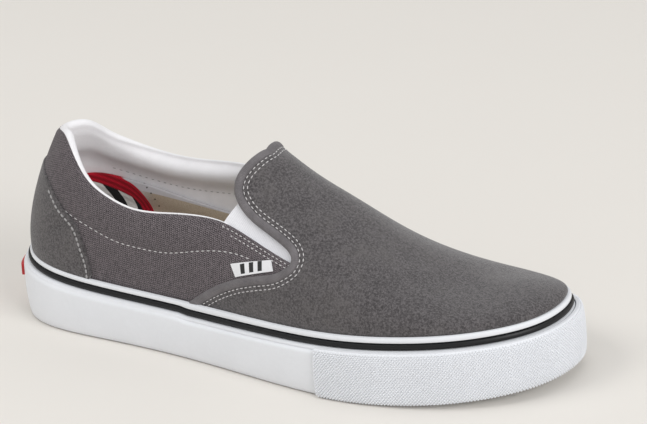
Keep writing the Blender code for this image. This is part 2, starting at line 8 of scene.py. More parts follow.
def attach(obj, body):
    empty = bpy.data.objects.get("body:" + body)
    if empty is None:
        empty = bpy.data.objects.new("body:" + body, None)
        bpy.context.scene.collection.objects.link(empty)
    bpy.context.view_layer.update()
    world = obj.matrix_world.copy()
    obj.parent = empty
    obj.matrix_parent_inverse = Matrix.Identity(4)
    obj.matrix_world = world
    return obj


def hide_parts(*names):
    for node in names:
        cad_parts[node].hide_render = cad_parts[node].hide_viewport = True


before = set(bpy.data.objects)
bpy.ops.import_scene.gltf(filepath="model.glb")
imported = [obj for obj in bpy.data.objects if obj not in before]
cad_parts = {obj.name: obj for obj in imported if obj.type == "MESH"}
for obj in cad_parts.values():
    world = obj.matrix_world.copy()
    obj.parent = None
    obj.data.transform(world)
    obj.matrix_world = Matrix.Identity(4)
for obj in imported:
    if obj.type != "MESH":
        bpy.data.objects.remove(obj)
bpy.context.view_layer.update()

shoe = {
    "length": 0.292,
    "halfWidth": 0.0515,
    "sidewall": 0.0355,
    "ridge": 0.100,
    "lastedIn": 0.0065,       # how far the upper stands in from the widest outline of the sole
    "toeSpring": 0.0056,
    "heelSpring": 0.0010,
    "heelToMiddle": (-0.14594608, 0.00256406, 0.0),   # from the heel to the middle of the footprint
    "spineFrom": 0.1233,
    "spineTo": 0.8973,
}
outer, inner = -1, 1


class Rows:
    # a smooth curve through every column of a short table
    def __init__(self, rows):
        self.rows = np.array(rows, float)
        self.xs = self.rows[:, 0]
        self.steps = np.diff(self.xs)
        size = len(self.xs)
        matrix = np.eye(size)
        right = np.zeros(self.rows.shape)
        for i in range(1, size - 1):
            h0, h1 = self.steps[i - 1], self.steps[i]
            matrix[i, i - 1:i + 2] = h0, 2 * (h0 + h1), h1
            right[i] = 6 * ((self.rows[i + 1] - self.rows[i]) / h1 - (self.rows[i] - self.rows[i - 1]) / h0)
        self.bends = np.linalg.solve(matrix, right)

    def at(self, column, x):
        x = np.asarray(x, float)
        k = np.clip(np.searchsorted(self.xs, x, side="right") - 1, 0, len(self.xs) - 2)
        h = self.steps[k]
        u = (x - self.xs[k]) / h
        ys, bends = self.rows[:, column], self.bends[:, column]
        curve = ((1 - u) ** 3 - (1 - u)) * bends[k] + (u ** 3 - u) * bends[k + 1]
        return ys[k] * (1 - u) + ys[k + 1] * u + h ** 2 / 6 * curve


def turnOf(q):
    return np.arccos(1 - 2 * np.clip(np.asarray(q, float), 0, 1))


def shareOf(t):
    return (1 - np.cos(t)) / 2


def ease(low, high, x):
    u = np.clip((np.asarray(x, float) - low) / (high - low), 0, 1)
    return u * u * (3 - 2 * u)


# share of the length, half widths of the sole on the outer and inner side
soleTable = [
    [0.000, 0.000, 0.000], [0.015, 0.348, 0.334], [0.050, 0.579, 0.548], [0.120, 0.722, 0.695],
    [0.220, 0.755, 0.730], [0.350, 0.796, 0.722], [0.480, 0.893, 0.750], [0.600, 0.994, 0.823],
    [0.700, 1.021, 0.893], [0.800, 0.936, 0.920], [0.880, 0.765, 0.870], [0.940, 0.530, 0.753],
    [0.985, 0.204, 0.534], [1.000, -0.175, 0.175]]
soleLine = Rows([[float(turnOf(q)), a, b] for q, a, b in soleTable])
# share of the length, heights of sidewall, insole board and footbed
levels = Rows([
    [0.00, 0.985, 0.817, 1.100], [0.12, 0.860, 0.770, 1.060], [0.35, 0.783, 0.620, 0.915],
    [0.65, 0.850, 0.577, 0.730], [0.85, 0.940, 0.605, 0.730], [1.00, 1.005, 0.704, 0.830]])
# place along the length, height of the ridge, side shift of the ridge
ridge = Rows([
    [0.123, 1.500, 0.000], [0.212, 1.430, 0.000], [0.342, 1.230, 0.000], [0.473, 0.982, 0.000],
    [0.548, 0.847, 0.000], [0.616, 0.753, 0.000], [0.685, 0.637, 0.002], [0.760, 0.525, 0.020],
    [0.839, 0.442, 0.044], [0.897, 0.426, 0.060]])
# share of the length, fullness at the feather line and beside the ridge (outer, inner), bulge
fullness = Rows([
    [0.00, 0.30, 0.30, -0.75, -0.75, 0.050], [0.10, 0.48, 0.48, 0.15, 0.15, 0.041],
    [0.20, 0.61, 0.61, 0.77, 0.77, 0.031], [0.30, 0.61, 0.61, 0.89, 0.89, 0.023],
    [0.45, 0.51, 0.52, 0.50, 0.70, 0.020], [0.60, 0.50, 0.40, 0.50, 0.45, 0.024],
    [0.75, 0.55, 0.26, 0.55, 0.30, 0.030], [0.90, 0.58, 0.26, 0.60, 0.40, 0.034],
    [1.00, 0.60, 0.60, 0.60, 0.60, 0.039]])
collarLine = {
    outer: Rows([
        [0.00, 0.404], [0.05, 0.406], [0.109, 0.392], [0.153, 0.337], [0.188, 0.280], [0.232, 0.246],
        [0.282, 0.242], [0.338, 0.283], [0.391, 0.345], [0.445, 0.400], [0.480, 0.408], [0.553, 0.397],
        [0.600, 0.385], [0.680, 0.365]]),
    inner: Rows([
        [0.00, 0.404], [0.05, 0.374], [0.090, 0.322], [0.127, 0.281], [0.190, 0.244], [0.246, 0.246],
        [0.297, 0.275], [0.371, 0.345], [0.410, 0.380], [0.445, 0.400], [0.480, 0.408], [0.553, 0.397],
        [0.600, 0.385], [0.680, 0.365]])}
# rear edge of the vamp from the feather line round the side opening to the top of its tab
vampEdge = [
    [0.388, 0.000], [0.420, 0.058], [0.456, 0.123], [0.490, 0.180], [0.537, 0.247], [0.566, 0.294],
    [0.582, 0.338], [0.591, 0.375], [0.593, 0.404], [0.588, 0.436], [0.572, 0.461], [0.540, 0.480],
    [0.500, 0.495], [0.472, 0.530], [0.458, 0.580], [0.454, 0.640], [0.457, 0.740], [0.463, 0.860],
    [0.467, 1.000]]
counterEdge = [
    [0.190, 0.006], [0.190, 0.029], [0.181, 0.085], [0.167, 0.142], [0.136, 0.185], [0.101, 0.246],
    [0.044, 0.303], [0.000, 0.318]]
quarterSeam = Rows([
    [0.120, 0.195], [0.150, 0.170], [0.178, 0.152], [0.206, 0.138], [0.240, 0.126], [0.277, 0.127],
    [0.319, 0.139], [0.352, 0.158], [0.394, 0.202], [0.434, 0.250], [0.467, 0.283], [0.496, 0.300],
    [0.530, 0.303]])
cupTop = Rows([
    [0.00, 0.20], [0.06, 0.185], [0.12, 0.152], [0.18, 0.130], [0.25, 0.118], [0.35, 0.118],
    [0.45, 0.085], [0.55, -0.05], [0.65, -0.35], [0.80, -0.45], [1.00, -0.45]])


def bySide(side, table, outerColumn, innerColumn, at):
    return np.where(side < 0, table.at(outerColumn, at), table.at(innerColumn, at))


def fold(side, t):
    over = (t < 0) | (t > math.pi)
    t = np.where(t < 0, -t, np.where(t > math.pi, 2 * math.pi - t, t))
    return np.where(over, -side, side), t


def outline(side, t):
    side, t = fold(side, t)
    return shareOf(t) * shoe["length"], bySide(side, soleLine, 1, 2, t) * side * shoe["halfWidth"]


def edge(side, t, inset):
    # a point of the sole's outline moved in along its own normal, and that normal
    side = np.asarray(side, float)
    t = np.asarray(t, float)
    x, y = outline(side, t)
    x0, y0 = outline(side, t - 0.001)
    x1, y1 = outline(side, t + 0.001)
    size = np.hypot(x1 - x0, y1 - y0)
    nx = side * (y1 - y0) / size
    ny = -side * (x1 - x0) / size
    return x + nx * inset, y + ny * inset, nx, ny


def level(column, q):
    return levels.at(column, q) * shoe["sidewall"]


def ground(x):
    share = x / shoe["length"]
    toe = shoe["toeSpring"] * np.clip((share - 0.66) / 0.34, 0, None) ** 2
    return toe + shoe["heelSpring"] * np.clip((0.06 - share) / 0.06, 0, None) ** 2


def spine(q):
    share = shoe["spineFrom"] + (shoe["spineTo"] - shoe["spineFrom"]) * q
    rise = (ridge.at(1, share + 0.002) - ridge.at(1, share - 0.002)) / (0.004 * shoe["length"])
    return (share * shoe["length"], ridge.at(2, share) * shoe["ridge"], ridge.at(1, share) * shoe["ridge"],
            rise * shoe["ridge"])


def last(side, t, w):
    # the foot form: t runs round the outline from heel to toe, w from the feather line to the ridge
    side, t, w = np.broadcast_arrays(np.asarray(side, float), np.asarray(t, float), np.asarray(w, float))
    side = np.where(w > 1, -side, side)
    w = np.where(w > 1, 2 - w, w)
    side, t = fold(side, t)
    q = shareOf(t)
    bx, by, nx, ny = edge(side, t, shoe["lastedIn"])
    low = level(1, q)
    sx, sy, top, slope = spine(q)
    foot = bySide(side, fullness, 1, 2, q)
    crown = bySide(side, fullness, 3, 4, q)
    bulge = fullness.at(5, q) * shoe["halfWidth"]
    start = np.stack([bx, by, low], -1)
    end = np.stack([sx, sy, top], -1)
    first = np.stack([bx - nx * bulge, by - ny * bulge, low + foot * (top - low)], -1)
    second = end + (start - end) * crown[..., None]
    second[..., 2] = top + slope * crown * (bx - sx)
    u = np.clip(w, 0, 1)[..., None]
    point = (start * (1 - u) ** 3 + 3 * first * u * (1 - u) ** 2 + 3 * second * u ** 2 * (1 - u)
             + end * u ** 3)
    point[..., 2] += np.minimum(w, 0) * (low - level(2, q) - 0.0003)
    return point


def skinNormal(side, t, w):
    e = 0.002
    side, t, w = np.broadcast_arrays(np.asarray(side, float), np.asarray(t, float), np.asarray(w, float))
    near = np.where(t > 3.0, np.minimum(w, 0.96), w)
    along = last(side, t + e, near) - last(side, t - e, near)
    up = last(side, t, near + e) - last(side, t, near - e)
    normal = np.cross(along, up) * -side[..., None]
    return normal / np.linalg.norm(normal, axis=-1, keepdims=True)


def skin(side, t, w, off):
    return last(side, t, w) + skinNormal(side, t, w) * np.asarray(off, float)[..., None]


def lengthAlong(points):
    return np.concatenate([[0], np.cumsum(np.linalg.norm(np.diff(points, axis=0), axis=1))])


def evenLine(rows, count):
    # even samples of a table of (share, w) drawn on the outer side of the last
    rows = np.array(rows, float)
    run = lengthAlong(last(outer, turnOf(rows[:, 0]), rows[:, 1]))
    guide = Rows(np.column_stack([run, rows]))
    at = np.linspace(0, run[-1], count)
    return turnOf(guide.at(1, at)), guide.at(2, at)


def movedLine(t, w, far):
    # a line on the last moved sideways over the surface by a distance
    e = 0.002
    w0 = np.maximum(w, 0.004)
    run = np.gradient(last(outer, t, w), axis=0)
    along = (last(outer, t + e, w0) - last(outer, t - e, w0)) / (2 * e)
    up = (last(outer, t, w0 + e) - last(outer, t, w0 - e)) / (2 * e)
    across = np.cross(np.cross(along, up), run)
    across /= np.linalg.norm(across, axis=1)[:, None]
    across *= np.sign(np.sum(across[-2] * along[-2]))
    newT, newW = t.copy(), w.copy()
    for k in range(len(t)):
        step = np.linalg.lstsq(np.column_stack([along[k], up[k]]), across[k] * far, rcond=None)[0]
        newT[k] += step[0]
        newW[k] += step[1]
    if w[-1] > 0.999:
        newW[-1] = 1.0
    return newT, newW


def makeMesh(name, points, faces, uvs, finishes, faceFinish=None, sharp=40, closed=True):
    mesh = bpy.data.meshes.new(name)
    mesh.from_pydata((np.asarray(points, float) + np.array(shoe["heelToMiddle"])).tolist(), [], faces)
    layer = mesh.uv_layers.new(name="surface")
    flat = np.array([c for corners in uvs for c in corners], np.float32).ravel()
    layer.data.foreach_set("uv", flat)
    for finish in finishes:
        mesh.materials.append(finish)
    if faceFinish is not None:
        mesh.polygons.foreach_set("material_index", np.array(faceFinish, np.int32))
    body = bmesh.new()
    body.from_mesh(mesh)
    if closed:
        bmesh.ops.recalc_face_normals(body, faces=body.faces)
    body.to_mesh(mesh)
    body.free()
    mesh.shade_smooth()
    mesh.set_sharp_from_angle(angle=math.radians(sharp))
    piece = bpy.data.objects.new(name, mesh)
    bpy.context.scene.collection.objects.link(piece)
    return piece


def shellPiece(name, grids, finishes, sharp=40):
    # grids of (side, t, w, outer offset, inner offset), welded where they meet, as one closed shell
    # the first finish is for the outside and the edges, the second for the inside
    keys, tops, unders, quads, uvs, start = [], [], [], [], [], 0
    for side, t, w, out, deep in grids:
        side, t, w, out, deep = np.broadcast_arrays(*[np.asarray(a, float) for a in (side, t, w, out, deep)])
        rows, columns = t.shape
        middle = last(side, t, w)
        normal = skinNormal(side, t, w)
        top = middle + normal * out[..., None]
        across = np.concatenate([np.zeros((rows, 1)),
                                 np.cumsum(np.linalg.norm(np.diff(top, axis=1), axis=2), 1)], 1)
        along = np.repeat(lengthAlong(top[:, columns // 2])[:, None], columns, 1)
        index = start + np.arange(rows * columns).reshape(rows, columns)
        start += rows * columns
        keys.append(np.round(middle.reshape(-1, 3) / 2e-5).astype(np.int64))
        tops.append(top.reshape(-1, 3))
        unders.append((middle + normal * deep[..., None]).reshape(-1, 3))
        uvs.append(np.stack([along, across], -1).reshape(-1, 2))
        cells = [index[:-1, :-1], index[1:, :-1], index[1:, 1:], index[:-1, 1:]]
        quads.append(np.stack(cells, -1).reshape(-1, 4))
    keys, tops, unders = np.concatenate(keys), np.concatenate(tops), np.concatenate(unders)
    quads, uvs = np.concatenate(quads), np.concatenate(uvs)
    _, first, ids = np.unique(keys, axis=0, return_index=True, return_inverse=True)
    ids = ids.reshape(-1)
    count = len(first)
    faces, corners = [], []
    for quad in quads.tolist():
        welded = [int(ids[v]) for v in quad]
        keep = [k for k in range(4) if welded[k] != welded[k - 1]]
        if len({welded[k] for k in keep}) < 3:
            continue
        faces.append([welded[k] for k in keep])
        corners.append([tuple(uvs[quad[k]]) for k in keep])
    uses = {}
    for face, corner in zip(faces, corners):
        for k in range(len(face)):
            pair = (face[k - 1], face[k])
            uses.setdefault(tuple(sorted(pair)), []).append((pair, corner[k - 1], corner[k]))
    rims = [found[0] for found in uses.values() if len(found) == 1]
    inside = [0] * len(faces)
    underFaces = [[v + count for v in reversed(f)] for f in faces]
    underCorners = [list(reversed(c)) for c in corners]
    wallFaces = [[pair[0], pair[1], pair[1] + count, pair[0] + count] for pair, _, _ in rims]
    wallCorners = [[a, b, b, a] for _, a, b in rims]
    inside += [len(finishes) - 1] * len(underFaces) + [0] * len(wallFaces)
    points = np.concatenate([tops[first], unders[first]])
    return makeMesh(name, points, faces + underFaces + wallFaces, corners + underCorners + wallCorners,
                    finishes, inside, sharp)


def loftPiece(name, rings, finishes, closed=False, sharp=40):
    # rings of points, each ring closed, joined into a tube with closed ends or one that closes on itself
    rings = np.array(rings, float)
    count, size, _ = rings.shape
    along = lengthAlong(rings.mean(1))
    around = np.concatenate([[0], np.cumsum(np.linalg.norm(np.diff(rings[count // 2], axis=0), axis=1))])
    around = np.append(around, around[-1] + np.linalg.norm(rings[count // 2, 0] - rings[count // 2, -1]))
    along = np.append(along, along[-1] + np.linalg.norm(rings[0] - rings[-1], axis=1).mean())
    faces, corners = [], []
    for i in range(count if closed else count - 1):
        k = (i + 1) % count
        far = along[i + 1]
        for j in range(size):
            n = (j + 1) % size
            faces.append([i * size + j, k * size + j, k * size + n, i * size + n])
            corners.append([(along[i], around[j]), (far, around[j]), (far, around[j + 1]),
                            (along[i], around[j + 1])])
    if not closed:
        for start in (0, (count - 1) * size):
            faces.append(list(range(start, start + size)))
            corners.append([(0.0, 0.0)] * size)
    return makeMesh(name, rings.reshape(-1, 3), faces, corners, finishes, None, sharp)


class Wire:
    # one socket of a finish, for use in Python expressions
    def __init__(self, finish, socket):
        self.finish = finish
        self.socket = socket

    def maths(self, operation, other=None, flip=False):
        values = [self] if other is None else ([other, self] if flip else [self, other])
        return self.finish.node("ShaderNodeMath", {"operation": operation}, dict(enumerate(values)))

    def __add__(self, other):
        return self.maths("ADD", other)

    def __radd__(self, other):
        return self.maths("ADD", other)

    def __sub__(self, other):
        return self.maths("SUBTRACT", other)

    def __rsub__(self, other):
        return self.maths("SUBTRACT", other, True)

    def __mul__(self, other):
        return self.maths("MULTIPLY", other)

    def __rmul__(self, other):
        return self.maths("MULTIPLY", other)

    def __truediv__(self, other):
        return self.maths("DIVIDE", other)

    def __gt__(self, other):
        return self.maths("GREATER_THAN", other)

    def __lt__(self, other):
        return self.maths("LESS_THAN", other)

    def most(self, other):
        return self.maths("MAXIMUM", other)

    def sine(self):
        return self.maths("SINE")

    def fraction(self):
        return self.maths("FRACT")

    def size(self):
        return self.maths("ABSOLUTE")

    def over(self, low, high):
        # 0 below low, 1 above high, smooth between them
        return self.finish.node("ShaderNodeMapRange", {"interpolation_type": "SMOOTHSTEP"},
                                {"Value": self, "From Min": low, "From Max": high})


class Finish:
    # a material with its nodes, built from expressions of wires
    def __init__(self, name, **fixed):
        self.material = bpy.data.materials.new(name)
        self.material.use_nodes = True
        self.tree = self.material.node_tree
        self.shader = self.tree.nodes["Principled BSDF"]
        for label, value in fixed.items():
            self.shader.inputs[label.replace("_", " ")].default_value = value

    def node(self, kind, settings=None, values=None, out=0):
        made = self.tree.nodes.new(kind)
        for label, value in (settings or {}).items():
            setattr(made, label, value)
        for label, value in (values or {}).items():
            if isinstance(value, Wire):
                self.tree.links.new(value.socket, made.inputs[label])
            else:
                made.inputs[label].default_value = value
        return Wire(self, made.outputs[out])

    def mix(self, share, a, b):
        colours = [c if isinstance(c, Wire) else tuple(c)[:3] + (1.0,) for c in (a, b)]
        return self.node("ShaderNodeMix", {"data_type": "RGBA"}, {0: share, 6: colours[0], 7: colours[1]}, 2)

    def place(self):
        return self.node("ShaderNodeTexCoord", out=3)

    def surface(self):
        return self.node("ShaderNodeUVMap", {"uv_map": "surface"})

    def parts(self, vector):
        split = self.node("ShaderNodeSeparateXYZ", {}, {0: vector})
        return [Wire(self, split.socket.node.outputs[k]) for k in range(3)]

    def noise(self, where, scale, detail=2.0, rough=0.5):
        return self.node("ShaderNodeTexNoise", {}, {"Vector": where, "Scale": scale, "Detail": detail,
                                                    "Roughness": rough})

    def bump(self, height, strength, distance):
        return self.node("ShaderNodeBump", {}, {"Height": height, "Strength": strength, "Distance": distance})

    def put(self, **values):
        for label, value in values.items():
            self.tree.links.new(value.socket, self.shader.inputs[label.replace("_", " ")])
        return self.material


def suedeFinish(name, colour, warm):
    f = Finish(name, Sheen_Weight=0.35, Sheen_Roughness=0.45, Specular_IOR_Level=0.15)
    where = f.place()
    clouds = f.noise(where, 60, 3, 0.6)
    patches = f.noise(where, 420, 3, 0.65)
    nap = f.noise(where, 1000, 3, 0.85)
    fibre = f.noise(where, 3200, 2, 0.7)
    tone = (clouds - 0.5) * 0.5 + (patches - 0.5) * 0.5 + (nap - 0.5) * 3.0 + (fibre - 0.5) * 0.8 + 0.5
    dark = tuple(c * 0.52 for c in colour)
    light = tuple(c * 1.55 for c in colour)
    base = f.mix(tone.over(0.05, 0.95), dark, light)
    base = f.mix(clouds.over(0.45, 0.75) * 0.3, base, warm)
    height = nap * 0.6 + fibre * 0.4
    return f.put(Base_Color=base, Roughness=nap * 0.1 + 0.86, Normal=f.bump(height, 0.8, 0.0005))


def canvasFinish(name, colour, pitch=0.0011, depth=0.7):
    f = Finish(name, Sheen_Weight=0.12, Specular_IOR_Level=0.2)
    u, v, _ = f.parts(f.surface())
    wander = f.noise(f.surface(), 130, 2) - 0.5
    ribs = ((u + wander * 0.0004) * (2 * math.pi / pitch)).sine()
    crossed = (v * (2 * math.pi / (pitch * 0.9)) + (u * (1 / pitch)).maths("FLOOR") * math.pi).sine()
    weave = ribs * 0.20 + crossed * 0.38 + 0.5
    slub = f.noise(f.node("ShaderNodeMapping", {}, {0: f.surface(), 3: (1.0, 0.16, 1.0)}), 900, 3, 0.7)
    fuzz = f.noise(f.place(), 1300, 3, 0.7)
    tone = weave * 0.75 + slub * 0.55 + (fuzz - 0.5) * 1.5 - 0.13
    dark = tuple(c * 0.26 for c in colour)
    light = tuple(c * 1.95 for c in colour)
    base = f.mix(tone.over(0.1, 0.95), dark, light)
    height = weave * 0.7 + slub * 0.3
    return f.put(Base_Color=base, Roughness=slub * 0.12 + 0.82, Normal=f.bump(height, depth, 0.0004))


def tapeFinish(name, colour):
    f = Finish(name, Sheen_Weight=0.15, Specular_IOR_Level=0.25)
    u, v, _ = f.parts(f.surface())
    rib = (u * (2 * math.pi / 0.0007)).sine()
    cord = (v * (2 * math.pi / 0.0006)).sine()
    fuzz = f.noise(f.place(), 1900, 3, 0.65)
    wear = f.noise(f.place(), 160, 2)
    tone = rib * 0.08 + cord * 0.08 + fuzz * 0.7 + (wear - 0.5) * 0.5 + 0.15
    base = f.mix(tone.over(0.1, 0.9), tuple(c * 0.55 for c in colour), tuple(c * 1.5 for c in colour))
    height = rib * 0.2 + cord * 0.2 + fuzz
    return f.put(Base_Color=base, Roughness=fuzz * 0.15 + 0.7, Normal=f.bump(height, 0.35, 0.0002))


def liningFinish(name, colour):
    f = Finish(name, Sheen_Weight=0.2, Specular_IOR_Level=0.2)
    u, v, _ = f.parts(f.surface())
    knit = (u * (2 * math.pi / 0.0008)).sine() * (v * (2 * math.pi / 0.0006)).sine()
    soft = f.noise(f.place(), 90, 3, 0.6)
    fuzz = f.noise(f.place(), 2400, 2, 0.6)
    base = f.mix((soft * 0.7 + fuzz * 0.3).over(0.3, 0.7), tuple(c * 0.93 for c in colour), colour)
    return f.put(Base_Color=base, Roughness=fuzz * 0.1 + 0.85,
                 Normal=f.bump(knit * 0.35 + fuzz * 0.5 + soft * 1.5, 0.3, 0.0004))


def rubberFinish(name, colour, rough=0.42, grain=0.15):
    f = Finish(name, Specular_IOR_Level=0.4)
    where = f.place()
    soft = f.noise(where, 35, 2)
    grit = f.noise(where, 1800, 2, 0.6)
    speck = f.noise(where, 420, 3, 0.7)
    base = f.mix((soft * 0.6 + speck * 0.4).over(0.35, 0.65), tuple(c * 0.965 for c in colour), colour)
    return f.put(Base_Color=base, Roughness=soft * 0.12 + grit * 0.06 + rough,
                 Normal=f.bump(grit * 0.4 + soft * 2.0, grain, 0.0003))


def stripeFinish(name):
    f = Finish(name, Specular_IOR_Level=0.3, Coat_Weight=0.08, Coat_Roughness=0.2)
    soft = f.noise(f.place(), 300, 3, 0.6)
    dust = f.noise(f.place(), 2500, 3, 0.7)
    base = f.mix(dust.over(0.6, 0.85) * 0.4, (0.007, 0.007, 0.008), (0.030, 0.030, 0.032))
    return f.put(Base_Color=base, Roughness=soft * 0.2 + 0.34, Normal=f.bump(soft, 0.2, 0.0003))


def elasticFinish(name):
    f = Finish(name, Sheen_Weight=0.2, Specular_IOR_Level=0.3)
    u, v, _ = f.parts(f.surface())
    ribs = (u * (2 * math.pi / 0.0009)).sine()
    threads = (v * (2 * math.pi / 0.00055)).sine()
    fuzz = f.noise(f.place(), 2200, 2, 0.6)
    tone = ribs * 0.12 + threads * 0.06 + fuzz * 0.4 + 0.3
    base = f.mix(tone.over(0.0, 0.8), (0.66, 0.66, 0.70), (0.86, 0.86, 0.89))
    height = ribs + threads * 0.5
    return f.put(Base_Color=base, Roughness=fuzz * 0.1 + 0.75, Normal=f.bump(height, 0.3, 0.0002))


def threadFinish(name, colour):
    f = Finish(name, Sheen_Weight=0.2)
    x, y, z = f.parts(f.place())
    twist = ((x + y * 0.6 + z * 0.9) * (2 * math.pi / 0.00035)).sine()
    base = f.mix(twist * 0.5 + 0.5, tuple(c * 0.72 for c in colour), colour)
    return f.put(Base_Color=base, Roughness=twist * 0.05 + 0.7, Normal=f.bump(twist, 0.4, 0.0001))


def labelFinish(name):
    f = Finish(name, Coat_Weight=0.15)
    soft = f.noise(f.place(), 500, 3, 0.6)
    grit = f.noise(f.place(), 2600, 2, 0.6)
    base = f.mix(soft.over(0.3, 0.7), (0.42, 0.008, 0.014), (0.56, 0.014, 0.022))
    return f.put(Base_Color=base, Roughness=soft * 0.15 + 0.3, Normal=f.bump(grit + soft, 0.2, 0.0002))


def tagFinish(name):
    f = Finish(name, Sheen_Weight=0.1)
    u, v, _ = f.parts(f.surface())
    slant = u - v * 0.25
    bars = ((slant * (1 / 0.0050)).fraction() - 0.5).size().over(0.24, 0.26)
    border = (v > 0.0009) * (v < 0.0056) * (slant > 0.0013) * (slant < 0.0175)
    weft = (v * (2 * math.pi / 0.00032)).sine()
    warp = (u * (2 * math.pi / 0.0004)).sine()
    base = f.mix(bars * border, (0.80, 0.80, 0.82), (0.012, 0.012, 0.013))
    height = weft + warp * 0.5
    return f.put(Base_Color=base, Roughness=weft * 0.05 + 0.75, Normal=f.bump(height, 0.35, 0.0001))


def insoleFinish(name):
    # cream cloth darkened with painted shade for the inside of the shoe, a white band at the heel whose soft
    # edge into the cream is partly painted shade, a red heel patch with slanted bars inside its rim, and
    # pinholes
    f = Finish(name, Sheen_Weight=0.1, Specular_IOR_Level=0.2)
    where = f.place()
    x, y, z = f.parts(where)
    x = x - shoe["heelToMiddle"][0]
    y = (y - shoe["heelToMiddle"][1]).size()
    drop = x * -0.475 + 0.0745
    front = 0.0625 - y * y * 9.0
    corner = 0.016
    sideGap = (drop * -0.9 + z * 0.9 + corner).most(0.0)
    frontGap = (x - front + corner).most(0.0)
    depth = (sideGap * sideGap + frontGap * frontGap).maths("SQRT") * -1.0 + corner
    red = depth.over(-0.0002, 0.0002)
    field = depth.over(0.0066, 0.0070)
    bars = (((x + z * 0.5) * (1 / 0.0105)).fraction() - 0.5).size().over(0.245, 0.255)
    # the white band at the heel is real colour, but its soft edge towards the cream is partly painted shade
    # inside the shoe
    white = (z - (x * -0.10 + 0.0555)).over(-0.0002, 0.0002).most(x.over(0.0560, 0.0420))
    weave = (x * (2 * math.pi / 0.0011)).sine() * (z * (2 * math.pi / 0.0009) + y * 3000).sine()
    rim = (depth * (2 * math.pi / 0.0026)).sine()
    soft = f.noise(where, 260, 3, 0.6)
    fine = f.noise(where, 2400, 2, 0.6)
    # the cloth's own cream colour, darkened with painted shade for the inside of the shoe
    creamWithPaintedShade = f.mix(fine.over(0.3, 0.7), (0.38, 0.31, 0.235), (0.50, 0.43, 0.335))
    base = f.mix(white, creamWithPaintedShade, f.mix(soft, (0.50, 0.49, 0.51), (0.60, 0.59, 0.61)))
    redShade = (weave * 0.3 + rim * 0.25 + fine * 0.6).over(0.0, 0.8)
    redTone = f.mix(redShade, (0.24, 0.003, 0.010), (0.58, 0.010, 0.030))
    patch = f.mix(field, redTone, f.mix(bars, (0.015, 0.015, 0.016), (0.70, 0.69, 0.66)))
    base = f.mix(red, base, patch)
    holes = {"pitch": 0.0050, "away": 0.0050, "radius": 0.0005, "soft": 0.0006}
    step = (((x - y - z) * (1 / holes["pitch"])).fraction() - 0.5) * holes["pitch"]
    beside = depth + holes["away"]
    hole = (step * step + beside * beside).over(holes["soft"] ** 2, holes["radius"] ** 2)
    base = f.mix(hole, base, (0.030, 0.028, 0.025))
    height = fine * 0.5 + weave * 0.35 * red + rim * 0.5 * red + depth.over(-0.0004, 0.0004)
    return f.put(Base_Color=base, Roughness=fine * 0.1 + 0.82, Normal=f.bump(height, 0.4, 0.0005))


def floorFinish(name):
    f = Finish(name, Specular_IOR_Level=0.1)
    fine = f.noise(f.place(), 12, 2)
    base = f.mix(fine, (0.780, 0.750, 0.705), (0.790, 0.760, 0.715))
    return f.put(Base_Color=base, Roughness=fine * 0.02 + 0.93)


suedeGrey = suedeFinish("suede_grey", (0.092, 0.085, 0.087), (0.096, 0.089, 0.084))
canvasGrey = canvasFinish("canvas_grey", (0.104, 0.090, 0.096))
tapeGrey = tapeFinish("tape_grey", (0.140, 0.130, 0.135))
liningWhite = liningFinish("lining_white", (0.88, 0.87, 0.885))
rubberWhite = rubberFinish("rubber_white", (0.79, 0.805, 0.835))
rubberTread = rubberFinish("rubber_tread", (0.72, 0.73, 0.73), 0.55, 0.3)
rubberBlack = stripeFinish("rubber_black")
rubberRed = labelFinish("rubber_red")
elasticWhite = elasticFinish("elastic_white")
threadWhite = threadFinish("thread_white", (0.72, 0.70, 0.70))
threadGrey = threadFinish("thread_grey", (0.40, 0.39, 0.39))
tagCloth = tagFinish("tag_cloth")
insoleCloth = insoleFinish("insole_cloth")
floorPale = floorFinish("floor_pale")
print("finishes made")


# sidewall
sidewall = {
    "back": 0.0062,           # how far the inner face of the sidewall stands in from the sole's outline
    "band": 0.0023,
    "stripe": 0.0026,
    "gap": 0.0003,
    "groundGap": 0.0005,
    "jog": 0.0007,            # the stripe steps down where the outer strip starts
    "jogFrom": 0.368,
    "jogTo": 0.392,
    "jogFades": (0.41, 0.60),
    "jogLost": 0.6,
    "bumperFrom": 0.655,
    "bumperIn": 0.0013,
    "proud": 0.0010,
    "columns": 420,
}


def roundTurns(count, first=None):
    # (side, t) all round the sole
    half = count // 2
    turns = [math.pi * k / half for k in range(half + 1)]
    if first is not None:
        turns = [first] + [t for t in turns if t > first + 0.002]
    near = [(inner, t) for t in turns]
    far = [(outer, t) for t in reversed(turns[1:-1] if first is None else turns[:-1])]
    return near + far


def jogAt(q):
    left = 1 - sidewall["jogLost"] * ease(*sidewall["jogFades"], q)
    return sidewall["jog"] * float(ease(sidewall["jogFrom"], sidewall["jogTo"], q) * left)


def bandRows(q):
    # the rows of each section are (distance in from the sole's outline, height)
    top = float(level(1, q))
    low = top - sidewall["band"] - jogAt(q)
    return [(sidewall["back"], low), (0.0048, low), (0.0043, low + 0.0003), (0.0042, low + 0.0009),
            (0.0043, top - 0.0009), (0.0045, top - 0.0004), (0.0050, top - 0.0001), (0.0056, top),
            (sidewall["back"], top)]


def stripeRows(q):
    top = float(level(1, q)) - sidewall["band"] - sidewall["gap"] - jogAt(q)
    low = top - sidewall["stripe"]
    return [(sidewall["back"], low), (0.0040, low), (0.0035, low + 0.0002), (0.0032, low + 0.0008),
            (0.0031, low + 0.0014), (0.0032, top - 0.0008), (0.0035, top - 0.0002), (0.0040, top),
            (sidewall["back"], top)]


def wallHeights(q):
    low = float(ground(q * shoe["length"])) + sidewall["groundGap"]
    return low, float(level(1, q)) - sidewall["band"] - sidewall["stripe"] - 2 * sidewall["gap"]


